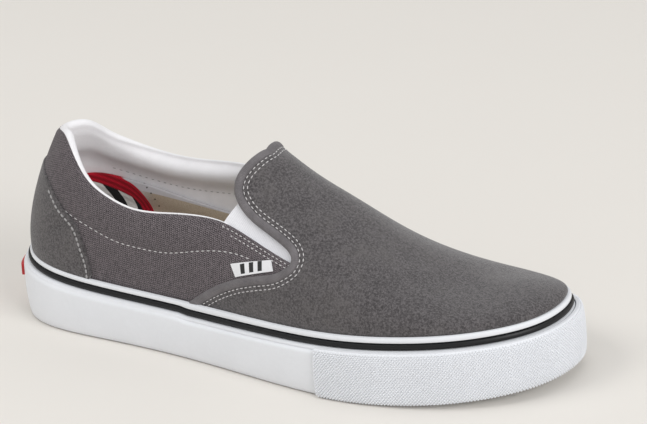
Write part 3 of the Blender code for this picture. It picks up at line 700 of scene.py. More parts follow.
def wallRows(q):
    low, top = wallHeights(q)
    top -= jogAt(q)
    lip = float(ease(0.36, 0.40, q))
    into = sidewall["bumperIn"] if q > sidewall["bumperFrom"] else 0.0
    tall = top - low
    rows = [(sidewall["back"], low), (0.0022, low), (0.0016, low + 0.0002), (0.0011, low + 0.0009),
            (0.0007, low + 0.14 * tall), (0.0003, low + 0.30 * tall), (0.0001, low + 0.50 * tall),
            (0.0002, low + 0.66 * tall), (0.0004, top - 0.0036), (0.0005, top - 0.0027),
            (0.0008 + 0.0001 * lip, top - 0.0021), (0.0011 + 0.0006 * lip, top - 0.0017),
            (0.0013 + 0.0007 * lip, top - 0.0014), (0.0014 + 0.0002 * lip, top - 0.0010),
            (0.0017, top - 0.0004), (0.0023, top - 0.0001), (0.0030, top), (sidewall["back"], top)]
    return [(inset + into if 0 < k < len(rows) - 1 else inset, z) for k, (inset, z) in enumerate(rows)]


# share of the height of the bumper, how far its face stands in, as a share of its greatest swell
bumperFace = [(0.010, 0.2), (0.025, -0.3), (0.06, -0.6), (0.14, -0.85), (0.28, -1.0), (0.45, -1.0),
              (0.62, -0.93), (0.76, -0.75), (0.86, -0.5), (0.93, -0.2), (0.965, 0.1), (0.975, 0.6),
              (1.00, 1.0)]


def bumperRows(q):
    low, top = wallHeights(q)
    top -= jogAt(q) + 0.0002
    face = [(out * sidewall["proud"], low - 0.0002 + share * (top - low)) for share, out in bumperFace]
    return [(0.0011, low)] + face + [(0.0024, top), (0.0024, low + 0.0008)]


def roundRing(name, rowsOf, finish, first=None):
    rings = []
    for side, t in roundTurns(sidewall["columns"], first):
        q = float(shareOf(t))
        ring = []
        for inset, z in rowsOf(q):
            x, y, _, _ = edge(side, t, inset)
            ring.append((float(x), float(y), z))
        rings.append(ring)
    return loftPiece(name, rings, [finish], first is None, 35)


bumperTurn = float(turnOf(sidewall["bumperFrom"])) + 0.001
topBand = roundRing("topBand", bandRows, rubberWhite)
blackStripe = roundRing("blackStripe", stripeRows, rubberBlack)
sideWall = roundRing("sideWall", wallRows, rubberWhite)
toeBumper = roundRing("toeBumper", bumperRows, rubberWhite, bumperTurn)
print("sidewall made")


# geometry node helpers
class Nodes:
    # a geometry node tree with named inputs
    def __init__(self, name, inputs):
        self.tree = bpy.data.node_groups.new(name, "GeometryNodeTree")
        self.tree.interface.new_socket("Geometry", in_out="INPUT", socket_type="NodeSocketGeometry")
        for label, (kind, value) in inputs.items():
            made = self.tree.interface.new_socket(label, in_out="INPUT", socket_type=kind)
            if value is not None:
                made.default_value = value
        self.tree.interface.new_socket("Geometry", in_out="OUTPUT", socket_type="NodeSocketGeometry")
        self.start = self.tree.nodes.new("NodeGroupInput")
        self.end = self.tree.nodes.new("NodeGroupOutput")

    def add(self, kind, settings=None, values=None):
        made = self.tree.nodes.new(kind)
        for label, value in (settings or {}).items():
            setattr(made, label, value)
        for label, value in (values or {}).items():
            if isinstance(value, bpy.types.NodeSocket):
                self.tree.links.new(value, made.inputs[label])
            else:
                made.inputs[label].default_value = value
        return made

    def finish(self, geometry, material):
        real = self.add("GeometryNodeRealizeInstances", {}, {0: geometry})
        smooth = self.add("GeometryNodeSetShadeSmooth", {},
                          {0: real.outputs[0], 2: self.start.outputs["Smooth"]})
        painted = self.add("GeometryNodeSetMaterial", {}, {0: smooth.outputs[0], 2: material})
        self.tree.links.new(painted.outputs[0], self.end.inputs[0])
        return self.tree


def pointCloud(name, points, facing, along=None, edges=()):
    # loose points or a line that carry the direction of the surface under them
    mesh = bpy.data.meshes.new(name)
    mesh.from_pydata((np.asarray(points, float) + np.array(shoe["heelToMiddle"])).tolist(), list(edges), [])
    for label, rows in (("facing", facing), ("heading", along)):
        if rows is not None:
            made = mesh.attributes.new(label, "FLOAT_VECTOR", "POINT")
            made.data.foreach_set("vector", np.asarray(rows, np.float32).ravel())
    guide = bpy.data.objects.new(name, mesh)
    bpy.context.scene.collection.objects.link(guide)
    return guide


def grown(guide, tree, values, name):
    # the result of a tree on a guide as a plain mesh
    modifier = guide.modifiers.new("grow", "NODES")
    modifier.node_group = tree
    sockets = {item.name: item.identifier for item in tree.interface.items_tree if item.in_out == "INPUT"}
    for label, value in values.items():
        modifier[sockets[label]] = value
    bpy.context.view_layer.update()
    mesh = bpy.data.meshes.new_from_object(guide.evaluated_get(bpy.context.evaluated_depsgraph_get()))
    guide.modifiers.clear()
    bpy.data.objects.remove(guide)
    piece = bpy.data.objects.new(name, mesh)
    bpy.context.scene.collection.objects.link(piece)
    return piece


def stitchTree():
    g = Nodes("stitches", {
        "Pitch": ("NodeSocketFloat", 0.0027), "Length": ("NodeSocketFloat", 0.002),
        "Width": ("NodeSocketFloat", 0.0006), "Height": ("NodeSocketFloat", 0.0004),
        "Smooth": ("NodeSocketBool", True), "Thread": ("NodeSocketMaterial", None)})
    line = g.add("GeometryNodeMeshToCurve", {}, {0: g.start.outputs["Geometry"]})
    even = g.add("GeometryNodeResampleCurve", {"mode": "LENGTH"},
                 {"Curve": line.outputs[0], "Length": g.start.outputs["Pitch"]})
    bead = g.add("GeometryNodeMeshUVSphere", {}, {"Segments": 6, "Rings": 5, "Radius": 0.5})
    scale = g.add("ShaderNodeCombineXYZ", {}, {0: g.start.outputs["Length"], 1: g.start.outputs["Width"],
                                               2: g.start.outputs["Height"]})
    # the bead's long axis is X
    tangent = g.add("GeometryNodeInputTangent")
    facing = g.add("GeometryNodeInputNamedAttribute", {"data_type": "FLOAT_VECTOR"}, {"Name": "facing"})
    turn = g.add("FunctionNodeAxesToRotation", {"primary_axis": "Z", "secondary_axis": "X"},
                 {0: facing.outputs[0], 1: tangent.outputs[0]})
    laid = g.add("GeometryNodeInstanceOnPoints", {}, {
        "Points": even.outputs[0], "Instance": bead.outputs[0], "Rotation": turn.outputs[0],
        "Scale": scale.outputs[0]})
    return g.finish(laid.outputs[0], g.start.outputs["Thread"])


def studTree():
    g = Nodes("studs", {
        "Wide": ("NodeSocketFloat", 0.0007), "Top": ("NodeSocketFloat", 0.0003),
        "Tall": ("NodeSocketFloat", 0.0004), "Corners": ("NodeSocketInt", 4),
        "Smooth": ("NodeSocketBool", False), "Rubber": ("NodeSocketMaterial", None)})
    stud = g.add("GeometryNodeMeshCone", {}, {
        "Vertices": g.start.outputs["Corners"], "Side Segments": 1, "Radius Top": g.start.outputs["Top"],
        "Radius Bottom": g.start.outputs["Wide"], "Depth": g.start.outputs["Tall"]})
    facing = g.add("GeometryNodeInputNamedAttribute", {"data_type": "FLOAT_VECTOR"}, {"Name": "facing"})
    heading = g.add("GeometryNodeInputNamedAttribute", {"data_type": "FLOAT_VECTOR"}, {"Name": "heading"})
    turn = g.add("FunctionNodeAxesToRotation", {"primary_axis": "Z", "secondary_axis": "X"},
                 {0: facing.outputs[0], 1: heading.outputs[0]})
    laid = g.add("GeometryNodeInstanceOnPoints", {}, {
        "Points": g.start.outputs["Geometry"], "Instance": stud.outputs[0], "Rotation": turn.outputs[0]})
    return g.finish(laid.outputs[0], g.start.outputs["Rubber"])


stitches = stitchTree()
studs = studTree()


def sewn(name, lines, thread, pitch, length, width=0.0006, height=0.0004):
    # lines of (points, surface directions) sewn with the same thread
    points, facing, edges = [], [], []
    for line, normals in lines:
        edges += [(len(points) + k, len(points) + k + 1) for k in range(len(line) - 1)]
        points += [tuple(p) for p in line]
        facing += [tuple(n) for n in normals]
    guide = pointCloud(name + "Guide", points, facing, None, edges)
    return grown(guide, stitches, {"Pitch": pitch, "Length": length, "Width": width, "Height": height,
                                   "Thread": thread}, name)


# toe bumper texture
knurl = {"pitch": 0.00152, "rise": 0.00084, "wide": 0.00062, "top": 0.00030, "tall": 0.00060}


def knurlPoints():
    turns = np.linspace(bumperTurn, math.pi, 900)
    points, facing, heading = [], [], []
    for side in (inner, outer):
        x, y, _, _ = edge(side, turns, 0.0)
        run = lengthAlong(np.column_stack([x, y]))
        count = int(run[-1] / (knurl["pitch"] / 2))
        for k in range(1, count + 1):
            t = float(np.interp(k * run[-1] / count, run, turns))
            q = float(shareOf(t))
            rows = bumperRows(q)[1:-2]
            insets = np.array([r[0] for r in rows])
            heights = np.array([r[1] for r in rows])
            _, _, nx, ny = edge(side, t, 0.0)
            low, high = heights[1] + 0.0002, heights[-3]
            steps = int((high - low) / knurl["rise"])
            for j in range(steps + 1):
                if (j + k) % 2 or (k == count and side == outer):
                    continue
                z = low + j * (high - low) / steps
                inset = float(np.interp(z, heights, insets))
                above, below = np.interp([z + 0.0004, z - 0.0004], heights, insets)
                slope = float(above - below) / 0.0008
                x, y, _, _ = edge(side, t, inset)
                normal = np.array([-nx, -ny, slope])
                points.append((float(x), float(y), z))
                facing.append(normal / np.linalg.norm(normal))
                heading.append((-ny, nx, 0.0))
    return points, facing, heading


bumperKnurl = grown(
    pointCloud("knurlGuide", *knurlPoints()), studs,
    {"Wide": knurl["wide"], "Top": knurl["top"], "Tall": knurl["tall"], "Rubber": rubberWhite}, "bumperKnurl")
print("bumper texture made", len(bumperKnurl.data.polygons))


# suede vamp with its tab
vamp = {"edge": 0.0033, "rise": 0.0005, "under": -0.0009, "throatBow": 0.12, "edgeSteps": 150,
        "droop": 0.0011}
vampT, vampW = evenLine(vampEdge, vamp["edgeSteps"])


def bothSides(grids):
    return [(side,) + tuple(grid) for grid in grids for side in (outer, inner)]


def tabDroop(t, w):
    # the end of the tab bends down a little at the ridge
    return -vamp["droop"] * ease(0.70, 0.98, w) * (1 - ease(0.455, 0.515, shareOf(t)))


def vampGrids():
    # the wing beside the opening, the tab over the throat, and all of the vamp in front of them
    t, w = movedLine(vampT, vampW, vamp["edge"])
    throat = int(np.argmax(np.where(w < 0.6, t, 0)))
    above = w[:throat + 1] > 0.006
    wingT = np.concatenate([[np.interp(0.0, w[:throat + 1], t[:throat + 1])], t[:throat + 1][above]])
    wingW = np.concatenate([[0.0], w[:throat + 1][above]])
    tabT, tabW = t[throat:], w[throat:]
    corner = int(np.argmin(np.abs(tabW - 0.56)))
    lowT, lowW, rearT, rearW = tabT[:corner + 1], tabW[:corner + 1], tabT[corner:], tabW[corner:]
    rows = np.linspace(0, 1, 22)[1:]
    foot = np.array([-0.6, -0.2, 0.0])
    baseT = np.linspace(wingT[0], wingT[-1], len(wingT))
    wing = (np.column_stack([np.repeat(baseT[:, None], 3, 1),
                             baseT[:, None] + (wingT - baseT)[:, None] * rows[None]]),
            np.column_stack([np.repeat(foot[None], len(baseT), 0), wingW[:, None] * rows[None]]))
    us = np.linspace(0, 1, len(lowT))[:, None]
    vs = ((rearW - rearW[0]) / (1 - rearW[0]))[None]
    throatT = tabT[0] + vamp["throatBow"] * np.sin(vs[0] * math.pi / 2)
    throatW = tabW[0] + (1 - tabW[0]) * vs[0]
    tab = []
    for low, high, left, right in ((lowT, np.linspace(throatT[-1], rearT[-1], len(lowT)), throatT, rearT),
                                   (lowW, np.ones(len(lowT)), throatW, rearW)):
        corners = ((1 - us) * (1 - vs) * low[0] + us * (1 - vs) * low[-1]
                   + (1 - us) * vs * high[0] + us * vs * high[-1])
        across = left[None] * (1 - us) + right[None] * us
        tab.append(low[:, None] * (1 - vs) + high[:, None] * vs + across - corners)
    columnW = np.concatenate([wing[1][-1], throatW[1:]])
    columnT = np.concatenate([np.full(wing[1].shape[1], tabT[0]), throatT[1:]])
    onward = np.linspace(0, 1, 110)[:, None]
    front = (columnT[None] + (math.pi - columnT[None]) * onward, columnW[None] + 0 * onward)
    grids = []
    for tt, ww in (wing, tab, front):
        grids.append((tt, ww, vamp["rise"] * np.clip(ww / 0.05, 0, 1) + tabDroop(tt, ww),
                      vamp["under"] + tabDroop(tt, ww)))
    return bothSides(grids)


vampSuede = shellPiece("vampSuede", vampGrids(), [suedeGrey, liningWhite], 60)
print("vamp made", len(vampSuede.data.polygons))

# bound edge of the vamp: distance in from the edge and height over the last
binding = {
    "outside": [(0.0040, 0.0004), (0.0037, 0.0008), (0.0031, 0.00115), (0.0022, 0.00135), (0.0013, 0.0013),
                (0.0006, 0.0010), (0.0001, 0.0005), (-0.0001, 0.0)],
    "inside": [(0.0001, -0.0005), (0.0007, -0.0010), (0.0018, -0.0012), (0.0030, -0.0012), (0.0040, -0.0009)],
}


def bindingRings():
    rings = []
    free = np.clip((vampW - 0.42) / 0.08, 0, 1)
    lines = []
    for far, off in binding["outside"]:
        t, w = movedLine(vampT, vampW, far)
        lines.append((t, w, off + 0 * t))
    for far, off in binding["inside"]:
        t, w = movedLine(vampT, vampW, far)
        lines.append((t, w, -0.0001 + (off + 0.0001) * (0.15 + 0.85 * free)))
    for side in (outer, inner):
        rows = []
        for t, w, off in lines:
            thinner = 1 - 0.5 * ease(0.75, 1.0, w)
            rows.append(skin(side, t, np.maximum(w, -0.06), off * thinner + tabDroop(t, w)))
        rings.append(np.stack(rows, 1))
    return np.concatenate([rings[0], rings[1][::-1][1:]])


vampBinding = loftPiece("vampBinding", bindingRings(), [tapeGrey], False, 60)
print("binding made")

# canvas quarters
quarter = {
    "drop": 0.0003,
    "under": -0.0015,
    "to": 0.64,
    "puff": 0.0010,
    "groove": 0.00035,
    "overHeel": 0.015,        # how far the cloth runs past the collar line, in shares of the height
    "overSide": 0.006,
    "heelEnds": {outer: 0.24, inner: 0.12},
    "sideEnds": {outer: (0.36, 0.44), inner: (0.0, 0.12)},
}


def canvasTop(side, q):
    # the cloth runs on a little past the collar line, most at the heel
    atHeel = quarter["overHeel"] * (1 - ease(0.0, quarter["heelEnds"][side], q))
    beside = quarter["overSide"] * (1 - ease(*quarter["sideEnds"][side], q))
    return collarLine[side].at(1, q) + atHeel + beside


def quarterOffset(side, q, w):
    seam = quarterSeam.at(1, np.clip(q, 0.120, 0.530))
    top = canvasTop(side, q)
    on = ease(0.02, 0.16, q) * (1 - ease(0.50, 0.56, q))
    groove = -quarter["groove"] * np.exp(-((w - seam) / 0.012) ** 2) * on
    rise = np.clip((w - seam) / np.maximum(top - seam, 0.02), 0, 1)
    puff = quarter["puff"] * np.sin(rise * math.pi) * (1 - ease(0.40, 0.50, q)) * ease(-0.10, 0.10, q)
    lower = 0.0003 * np.sin(np.clip(w / np.maximum(seam, 0.02), 0, 1) * math.pi) * on
    rolled = -0.0008 * ease(0.965, 1.0, w / top) * (1 - ease(0.44, 0.47, q))
    folded = -0.0006 * ease(0.985, 1.0, w / top) * ease(0.44, 0.47, q)
    return -quarter["drop"] + groove + puff + lower + rolled + folded


def quarterGrids():
    grids = []
    nearEdge = [0.955, 0.968, 0.978, 0.986, 0.993, 1.0]
    heights = np.concatenate([[-0.35, -0.1], np.linspace(0, 0.94, 44), nearEdge])[None]
    t = np.linspace(0, float(turnOf(quarter["to"])), 130)[:, None]
    q = shareOf(t)
    for side in (outer, inner):
        w = np.where(heights > 0, heights * canvasTop(side, q), heights)
        grids.append((side, t, w, quarterOffset(side, q, w), quarter["under"] + 0 * w))
    return grids


quarterCanvas = shellPiece("quarterCanvas", quarterGrids(), [canvasGrey, liningWhite], 60)
print("quarters made")

# padded collar lining, one closed section per column: height share, thickness share of the padding
lining = {"wall": 0.0022, "padding": 0.0046, "rollSide": 0.0008, "rollHeel": 0.0027, "to": 0.458}
padding = Rows([[0.0, 0.0], [0.35, 0.0], [0.50, 0.0], [0.60, 0.02], [0.68, 0.30], [0.76, 0.78], [0.84, 1.0],
                [0.90, 0.88], [0.95, 0.50], [1.00, 0.12]])


def heelPart(q):
    # 1 at the heel, 0 along the sides
    return 1 - ease(0.05, 0.24, q)


def liningDepth(q, h):
    padded = 1 - ease(0.33, 0.44, q)
    share = np.clip(padding.at(1, h), 0, 1)
    share = share + (1 - share) * heelPart(q) * ease(0.70, 0.90, h)
    return quarter["drop"] + lining["wall"] + lining["padding"] * share * padded


def liningRing(side, t):
    q = float(shareOf(t))
    top = float(canvasTop(side, q))
    rise = np.linalg.norm(last(side, t, top + 0.01) - last(side, t, top - 0.01)) / 0.02
    roll = lining["rollSide"] + (lining["rollHeel"] - lining["rollSide"]) * float(heelPart(q))
    roll *= 1 - 0.35 * float(ease(0.40, 0.455, q))
    centre = -0.0012 - 0.94 * roll
    rows = []
    for angle in np.linspace(20, 150, 12):
        a = math.radians(angle)
        rows.append((top + roll * (math.sin(a) - 0.35) / rise, centre + roll * math.cos(a)))
    edgeIn = rows[-1]
    for h in np.linspace(0.985, 0.50, 26):
        depth = -float(liningDepth(q, h))
        blend = float(ease(0.93, 1.0, h))
        rows.append((h * top, depth * (1 - blend) + edgeIn[1] * blend))
    for h in (0.35, 0.15, -0.2):
        rows.append((h * top, -float(liningDepth(q, max(h, 0)))))
    rows += [(-0.2 * top, quarter["under"] - 0.0001), (0.5 * top, quarter["under"] - 0.0001),
             (0.93 * top, quarter["under"] - 0.0001), (0.97 * top, quarter["under"] - 0.0004)]
    w, off = np.array(rows).T
    return skin(side, t, w, off)


def liningRings():
    end = float(turnOf(lining["to"]))
    turns = np.linspace(0, end, 120)
    return [liningRing(outer, t) for t in turns[::-1]] + [liningRing(inner, t) for t in turns[1:]]


collarLining = loftPiece("collarLining", liningRings(), [liningWhite], False, 60)


def throatLiningGrids():
    grids = []
    t = np.linspace(float(turnOf(0.445)), float(turnOf(0.66)), 40)[:, None]
    q = shareOf(t)
    heights = np.linspace(-0.3, 0.97, 20)[None]
    for side in (outer, inner):
        w = np.where(heights > 0, heights * collarLine[side].at(1, q), heights)
        grids.append((side, t, w, -0.0023 + 0 * w, -0.0030 + 0 * w))
    return grids


throatLining = [shellPiece(name, [grid], [liningWhite], 60)
                for name, grid in zip(("throatLiningOuter", "throatLiningInner"), throatLiningGrids())]
print("lining made")

# suede heel counter
counter = {"thick": 0.0013, "under": -0.00028}


def counterGrids():
    t, w = evenLine(counterEdge, 90)
    base = np.linspace(t[0], 0, len(t))
    share = np.concatenate([[-0.08], np.linspace(0, 0.96, 26), [0.972, 0.982, 0.990, 0.996, 1.0]])[None]
    tt = base[:, None] + (np.clip(t, 0, None) - base)[:, None] * np.clip(share, 0, 1)
    ww = np.where(share > 0, w[:, None] * share, share * 2.0)
    rounded = np.interp(share, [0, 0.970, 0.988, 0.996, 1.0], [1, 1, 0.94, 0.8, 0.55])
    tt, ww = tt[1:], ww[1:]
    return bothSides([(tt, ww, counter["thick"] * rounded + 0 * tt, counter["under"] + 0 * tt)])


heelCounter = shellPiece("heelCounter", counterGrids(), [suedeGrey], 60)

# elastic side gussets
gore = {"top": -0.0016, "under": -0.0022, "rows": (0.018, 0.042), "rowsFrom": 0.453, "rowsTo": 0.590,
        "rowsEnd": 0.452}


def goreGrid(side):
    us = np.linspace(0, 1, 50)[:, None]
    vs = np.linspace(0, 1, 24)[None]
    q = (0.445 + 0.033 * vs) * (1 - us) + (0.612 - 0.006 * vs) * us
    low, high = 0.370 - 0.022 * us, 0.600 - 0.10 * us
    w = low + (high - low) * vs
    sag = -0.0008 * np.sin(us * math.pi) * np.sin(vs * math.pi)
    return (side, turnOf(q), w, gore["top"] + sag, gore["under"] + sag)


goreOuter = shellPiece("goreOuter", [goreGrid(outer)], [elasticWhite], 60)
goreInner = shellPiece("goreInner", [goreGrid(inner)], [elasticWhite], 60)

# woven side tag
tag = {"rear": (0.487, 0.187, 0.476, 0.240), "front": (0.561, 0.301, 0.554, 0.356), "lift": 0.0005}


def tagGrid():
    us = np.linspace(0, 1, 40)[:, None]
    vs = np.linspace(0, 1, 14)[None]
    a, b, c, d = tag["rear"]
    e, f, g, h = tag["front"]
    q = (a * (1 - us) + e * us) * (1 - vs) + (c * (1 - us) + g * us) * vs
    w = (b * (1 - us) + f * us) * (1 - vs) + (d * (1 - us) + h * us) * vs
    curl = 0.0002 * np.cos(us * math.pi * 2) * vs
    return (outer, turnOf(q), w, tag["lift"] + curl, 0.0 * w)


sideTag = shellPiece("sideTag", [tagGrid()], [tagCloth], 60)
print("counter, gussets and tag made")

# insole with a raised cup
insole = {"wall": 0.0019, "back": 0.0029, "columns": 150}


def footInside(side, t, inset, share, height):
    # a point between the centre line (share 0) and the inset outline (share 1)
    x, y, _, _ = edge(side, t, inset)
    q = shareOf(t)
    cx = (shoe["spineFrom"] + (shoe["spineTo"] - shoe["spineFrom"]) * q) * shoe["length"]
    cy = ridge.at(2, cx / shoe["length"]) * shoe["ridge"]
    px = cx + (x - cx) * share
    py = cy + (y - cy) * share
    return np.array([px, py, height(px, q)], float)


def insoleRows():
    floorIn = shoe["lastedIn"] + insole["back"] + 1.6 * insole["wall"]
    loops = []
    for side, t in roundTurns(insole["columns"]):
        q = float(shareOf(t))
        top = float(cupTop.at(1, q))

        def wall(part, deep, lift=0.0):
            point = skin(side, t, -1 + (top + 1) * part, -insole["back"] - deep)
            return point + np.array([0, 0, lift])

        rimHeight = float(last(side, t, top)[2])

        def bed(share, rise):
            return footInside(side, t, floorIn, share,
                              lambda x, q: level(3, q) + rise * (rimHeight - level(3, q)))

        rim = wall(1.0, insole["wall"])
        wide = bed(1.0, 0.22)
        stops = [rim, 0.5 * (rim + wide), wide, bed(0.66, 0.05), bed(0.0, 0.0)]
        guide = Rows(np.column_stack([np.arange(5), stops]))
        samples = np.concatenate([np.linspace(0, 3, 27), [3.5, 4.0]])
        inward = np.stack([guide.at(k, samples) for k in (1, 2, 3)], -1)
        under = footInside(side, t, shoe["lastedIn"] + insole["back"], 0.0, lambda x, q: level(2, q) + 0.0003)
        outside = [wall(part, 0.0) for part in (0.0, 0.5, 0.9, 1.0)]
        rounded = [wall(1.0, part * insole["wall"], 0.0003) for part in (0.3, 0.7)]
        loops.append(np.concatenate([[under] + outside + rounded, inward]))
    return np.array(loops)


def cupPiece(name, loops, finish):
    # one row of points per place round the sole, from the middle underneath to the middle on top
    count, size, _ = loops.shape
    faces, corners = [], []
    for i in range(count):
        k = (i + 1) % count
        for j in range(size - 1):
            faces.append([i * size + j, k * size + j, k * size + j + 1, i * size + j + 1])
            corners.append([(0.0, 0.0)] * 4)
    piece = makeMesh(name, loops.reshape(-1, 3), faces, corners, [finish], None, 50, False)
    body = bmesh.new()
    body.from_mesh(piece.data)
    bmesh.ops.remove_doubles(body, verts=body.verts, dist=0.00003)
    bmesh.ops.recalc_face_normals(body, faces=body.faces)
    body.to_mesh(piece.data)
    body.free()
    return piece


insoleCup = cupPiece("insoleCup", insoleRows(), insoleCloth)
print("insole made")

# heel label, a plain plate with a raised border
label = {"halfWidth": 0.0215, "tall": 0.0068, "low": 0.0180, "thick": 0.0011, "border": 0.0011,
         "rise": 0.0004, "corner": 0.0016}


def labelRings():
    # each ring runs up the face and down the back of the plate
    rings = []
    across = np.concatenate([[-1, -0.985, -0.96], np.linspace(-0.93, 0.93, 41), [0.96, 0.985, 1]])
    up = np.array([0, 0.02, 0.06, 0.11, 0.15, 0.2, 0.35, 0.5, 0.65, 0.8, 0.85, 0.89, 0.94, 0.98, 1])
    for part in across:
        turn = part * label["halfWidth"] / (shoe["length"] / 4)
        side = inner if turn >= 0 else outer
        fromEnd = (1 - abs(part)) * label["halfWidth"]
        front, back = [], []
        for share in up:
            z = label["low"] + share * label["tall"]
            cut = label["corner"]
            gapX, gapZ = cut - fromEnd, cut - min(share, 1 - share) * label["tall"]
            if gapX > 0 and gapZ > 0 and math.hypot(gapX, gapZ) > cut:
                lift = math.hypot(gapX, gapZ) - cut
                z += lift if share < 0.5 else -lift
            rows = wallRows(0.0)[1:-1]
            belly = float(np.interp(z, [r[1] for r in rows], [r[0] for r in rows]))
            fromRim = min(fromEnd, min(share, 1 - share) * label["tall"])
            proud = label["thick"] * float(ease(-0.0004, 0.0004, fromRim))
            past = ease(label["border"], label["border"] + 0.0004, fromRim)
            proud += label["rise"] * float(ease(0, 0.0004, fromRim) * (1 - past))
            x, y, _, _ = edge(side, abs(turn), belly - proud)
            front.append((float(x), float(y), z))
            x, y, _, _ = edge(side, abs(turn), belly + 0.0002)
            back.append((float(x), float(y), z))
        rings.append(front + back[::-1])
    return rings


heelLabel = loftPiece("heelLabel", labelRings(), [rubberRed], False, 35)
print("heel label made")

# outsole block and its lugs
tread = {"depth": 0.0018, "inset": 0.0065, "pitchX": 0.0118, "pitchY": 0.0102, "wide": 0.0054, "top": 0.0046,
         "margin": 0.0135, "archLift": 0.0006, "archFrom": (0.31, 0.36), "archTo": (0.50, 0.56)}


def outsoleLoops():
    loops = []
    for side, t in roundTurns(200):
        rows = [footInside(side, t, tread["inset"], share, lambda x, q: ground(x) + tread["depth"])
                for share in (0.0, 0.4, 0.8, 0.97, 1.0)]
        rows += [footInside(side, t, tread["inset"], share, lambda x, q: level(2, q))
                 for share in (1.0, 0.5, 0.0)]
        loops.append(rows)
    return np.array(loops)


def lugPoints():
    turns = np.linspace(0, math.pi, 200)
    margin = {}
    for side in (outer, inner):
        x, y, _, _ = edge(side, turns, tread["margin"])
        margin[side] = (x, y)
    points, facing, heading = [], [], []
    columns = int(shoe["length"] / (tread["pitchX"] / 2))
    for i in range(columns):
        x = 0.5 * tread["pitchX"] / 2 + i * tread["pitchX"] / 2
        if not margin[inner][0].min() < x < margin[inner][0].max():
            continue
        low = float(np.interp(x, margin[outer][0], margin[outer][1]))
        high = float(np.interp(x, margin[inner][0], margin[inner][1]))
        for j in range(-8, 9):
            y = j * tread["pitchY"] + (tread["pitchY"] / 2 if i % 2 else 0)
            if low < y < high:
                place = x / shoe["length"]
                inArch = ease(*tread["archFrom"], place) * (1 - ease(*tread["archTo"], place))
                lift = tread["archLift"] * float(inArch)
                slope = float(ground(x + 0.001) - ground(x - 0.001)) / 0.002
                points.append((x, y, float(ground(x)) + lift + tread["depth"] * 1.02))
                facing.append(np.array([slope, 0, -1.0]) / math.hypot(slope, 1))
                heading.append((1.0, 0.0, slope))
    return points, facing, heading


outsoleBlock = cupPiece("outsoleBlock", outsoleLoops(), rubberTread)
outsoleLugs = grown(pointCloud("lugGuide", *lugPoints()), studs,
                    {"Wide": tread["wide"], "Top": tread["top"], "Tall": tread["depth"] * 1.02, "Corners": 4,
                     "Rubber": rubberTread}, "outsoleLugs")
print("outsole made")

# seams
seams = {"vampRows": (0.0046, 0.0065), "pitch": 0.0027, "length": 0.0019, "quarterPitch": 0.0031,
         "quarterLength": 0.0022, "lift": 0.00008}


def bothWays(t, w, off):
    # a line carried over the ridge from one side to the other
    keep = w > -0.02
    near, far = [(skin(side, t[keep], w[keep], off[keep]), skinNormal(side, t[keep], w[keep]))
                 for side in (outer, inner)]
    return tuple(np.concatenate([a, b[::-1][1:]]) for a, b in zip(near, far))


def onSkin(side, q, w, off):
    t = turnOf(q)
    return skin(side, t, w, off), skinNormal(side, t, w)


def vampSeamLines():
    lines = []
    for far in seams["vampRows"]:
        t, w = movedLine(vampT, vampW, far)
        lines.append(bothWays(t, w, vamp["rise"] + seams["lift"] + tabDroop(t, w)))
    return lines


def quarterSeamLines():
    q = np.linspace(0.142, 0.505, 130)
    lines = []
    for side in (outer, inner):
        w = quarterSeam.at(1, q)
        lines.append(onSkin(side, q, w, quarterOffset(side, q, w) + seams["lift"]))
    return lines


def goreSeamLines():
    # two rows beside the gusset and a short one across their rear ends
    lines = []
    low, high = gore["rows"]
    lift = -quarter["drop"] + seams["lift"]
    for side in (outer, inner):
        q = np.linspace(gore["rowsFrom"], gore["rowsTo"], 60)
        for down in (low, high):
            lines.append(onSkin(side, q, collarLine[side].at(1, q) - down, lift))
        top = float(collarLine[side].at(1, gore["rowsFrom"]))
        w = np.linspace(top - low, top - high, 12)
        lines.append(onSkin(side, gore["rowsEnd"] + 0 * w, w, lift + 0 * w))
    return lines


def counterSeamLines():
    t, w = evenLine(counterEdge, 80)
    # the row leaves the edge of the counter towards its top
    share = np.linspace(0, 1, len(t))
    q = np.clip(shareOf(t) - 0.0075 * (1 - share ** 2), 0, 1)
    w = w - 0.026 * share ** 1.5
    keep = (w > 0.0) & (w < 0.235)
    off = counter["thick"] + seams["lift"]
    return [onSkin(side, q[keep], w[keep], off) for side in (outer, inner)]


def liningSeamLines():
    q = np.linspace(0.10, 0.44, 90)
    lines = []
    for side in (outer, inner):
        h = 0.60
        w = collarLine[side].at(1, q) * h
        points, normals = onSkin(side, q, w, -liningDepth(q, h + 0 * q) - 0.00005)
        lines.append((points, -normals))
    return lines


vampStitches = sewn("vampStitches", vampSeamLines(), threadWhite, seams["pitch"], seams["length"],
                    0.00052, 0.0004)
quarterStitches = sewn("quarterStitches", quarterSeamLines(), threadWhite, seams["quarterPitch"],
                       seams["quarterLength"], 0.00055, 0.0004)
goreStitches = sewn("goreStitches", goreSeamLines(), threadWhite, 0.0024, 0.0017, 0.0005, 0.0004)
counterStitches = sewn("counterStitches", counterSeamLines(), threadGrey, 0.0026, 0.0024, 0.0012, 0.0009)
liningStitches = sewn("liningStitches", liningSeamLines(), threadGrey, 0.0034, 0.0018, 0.0004, 0.0003)
print("seams sewn")

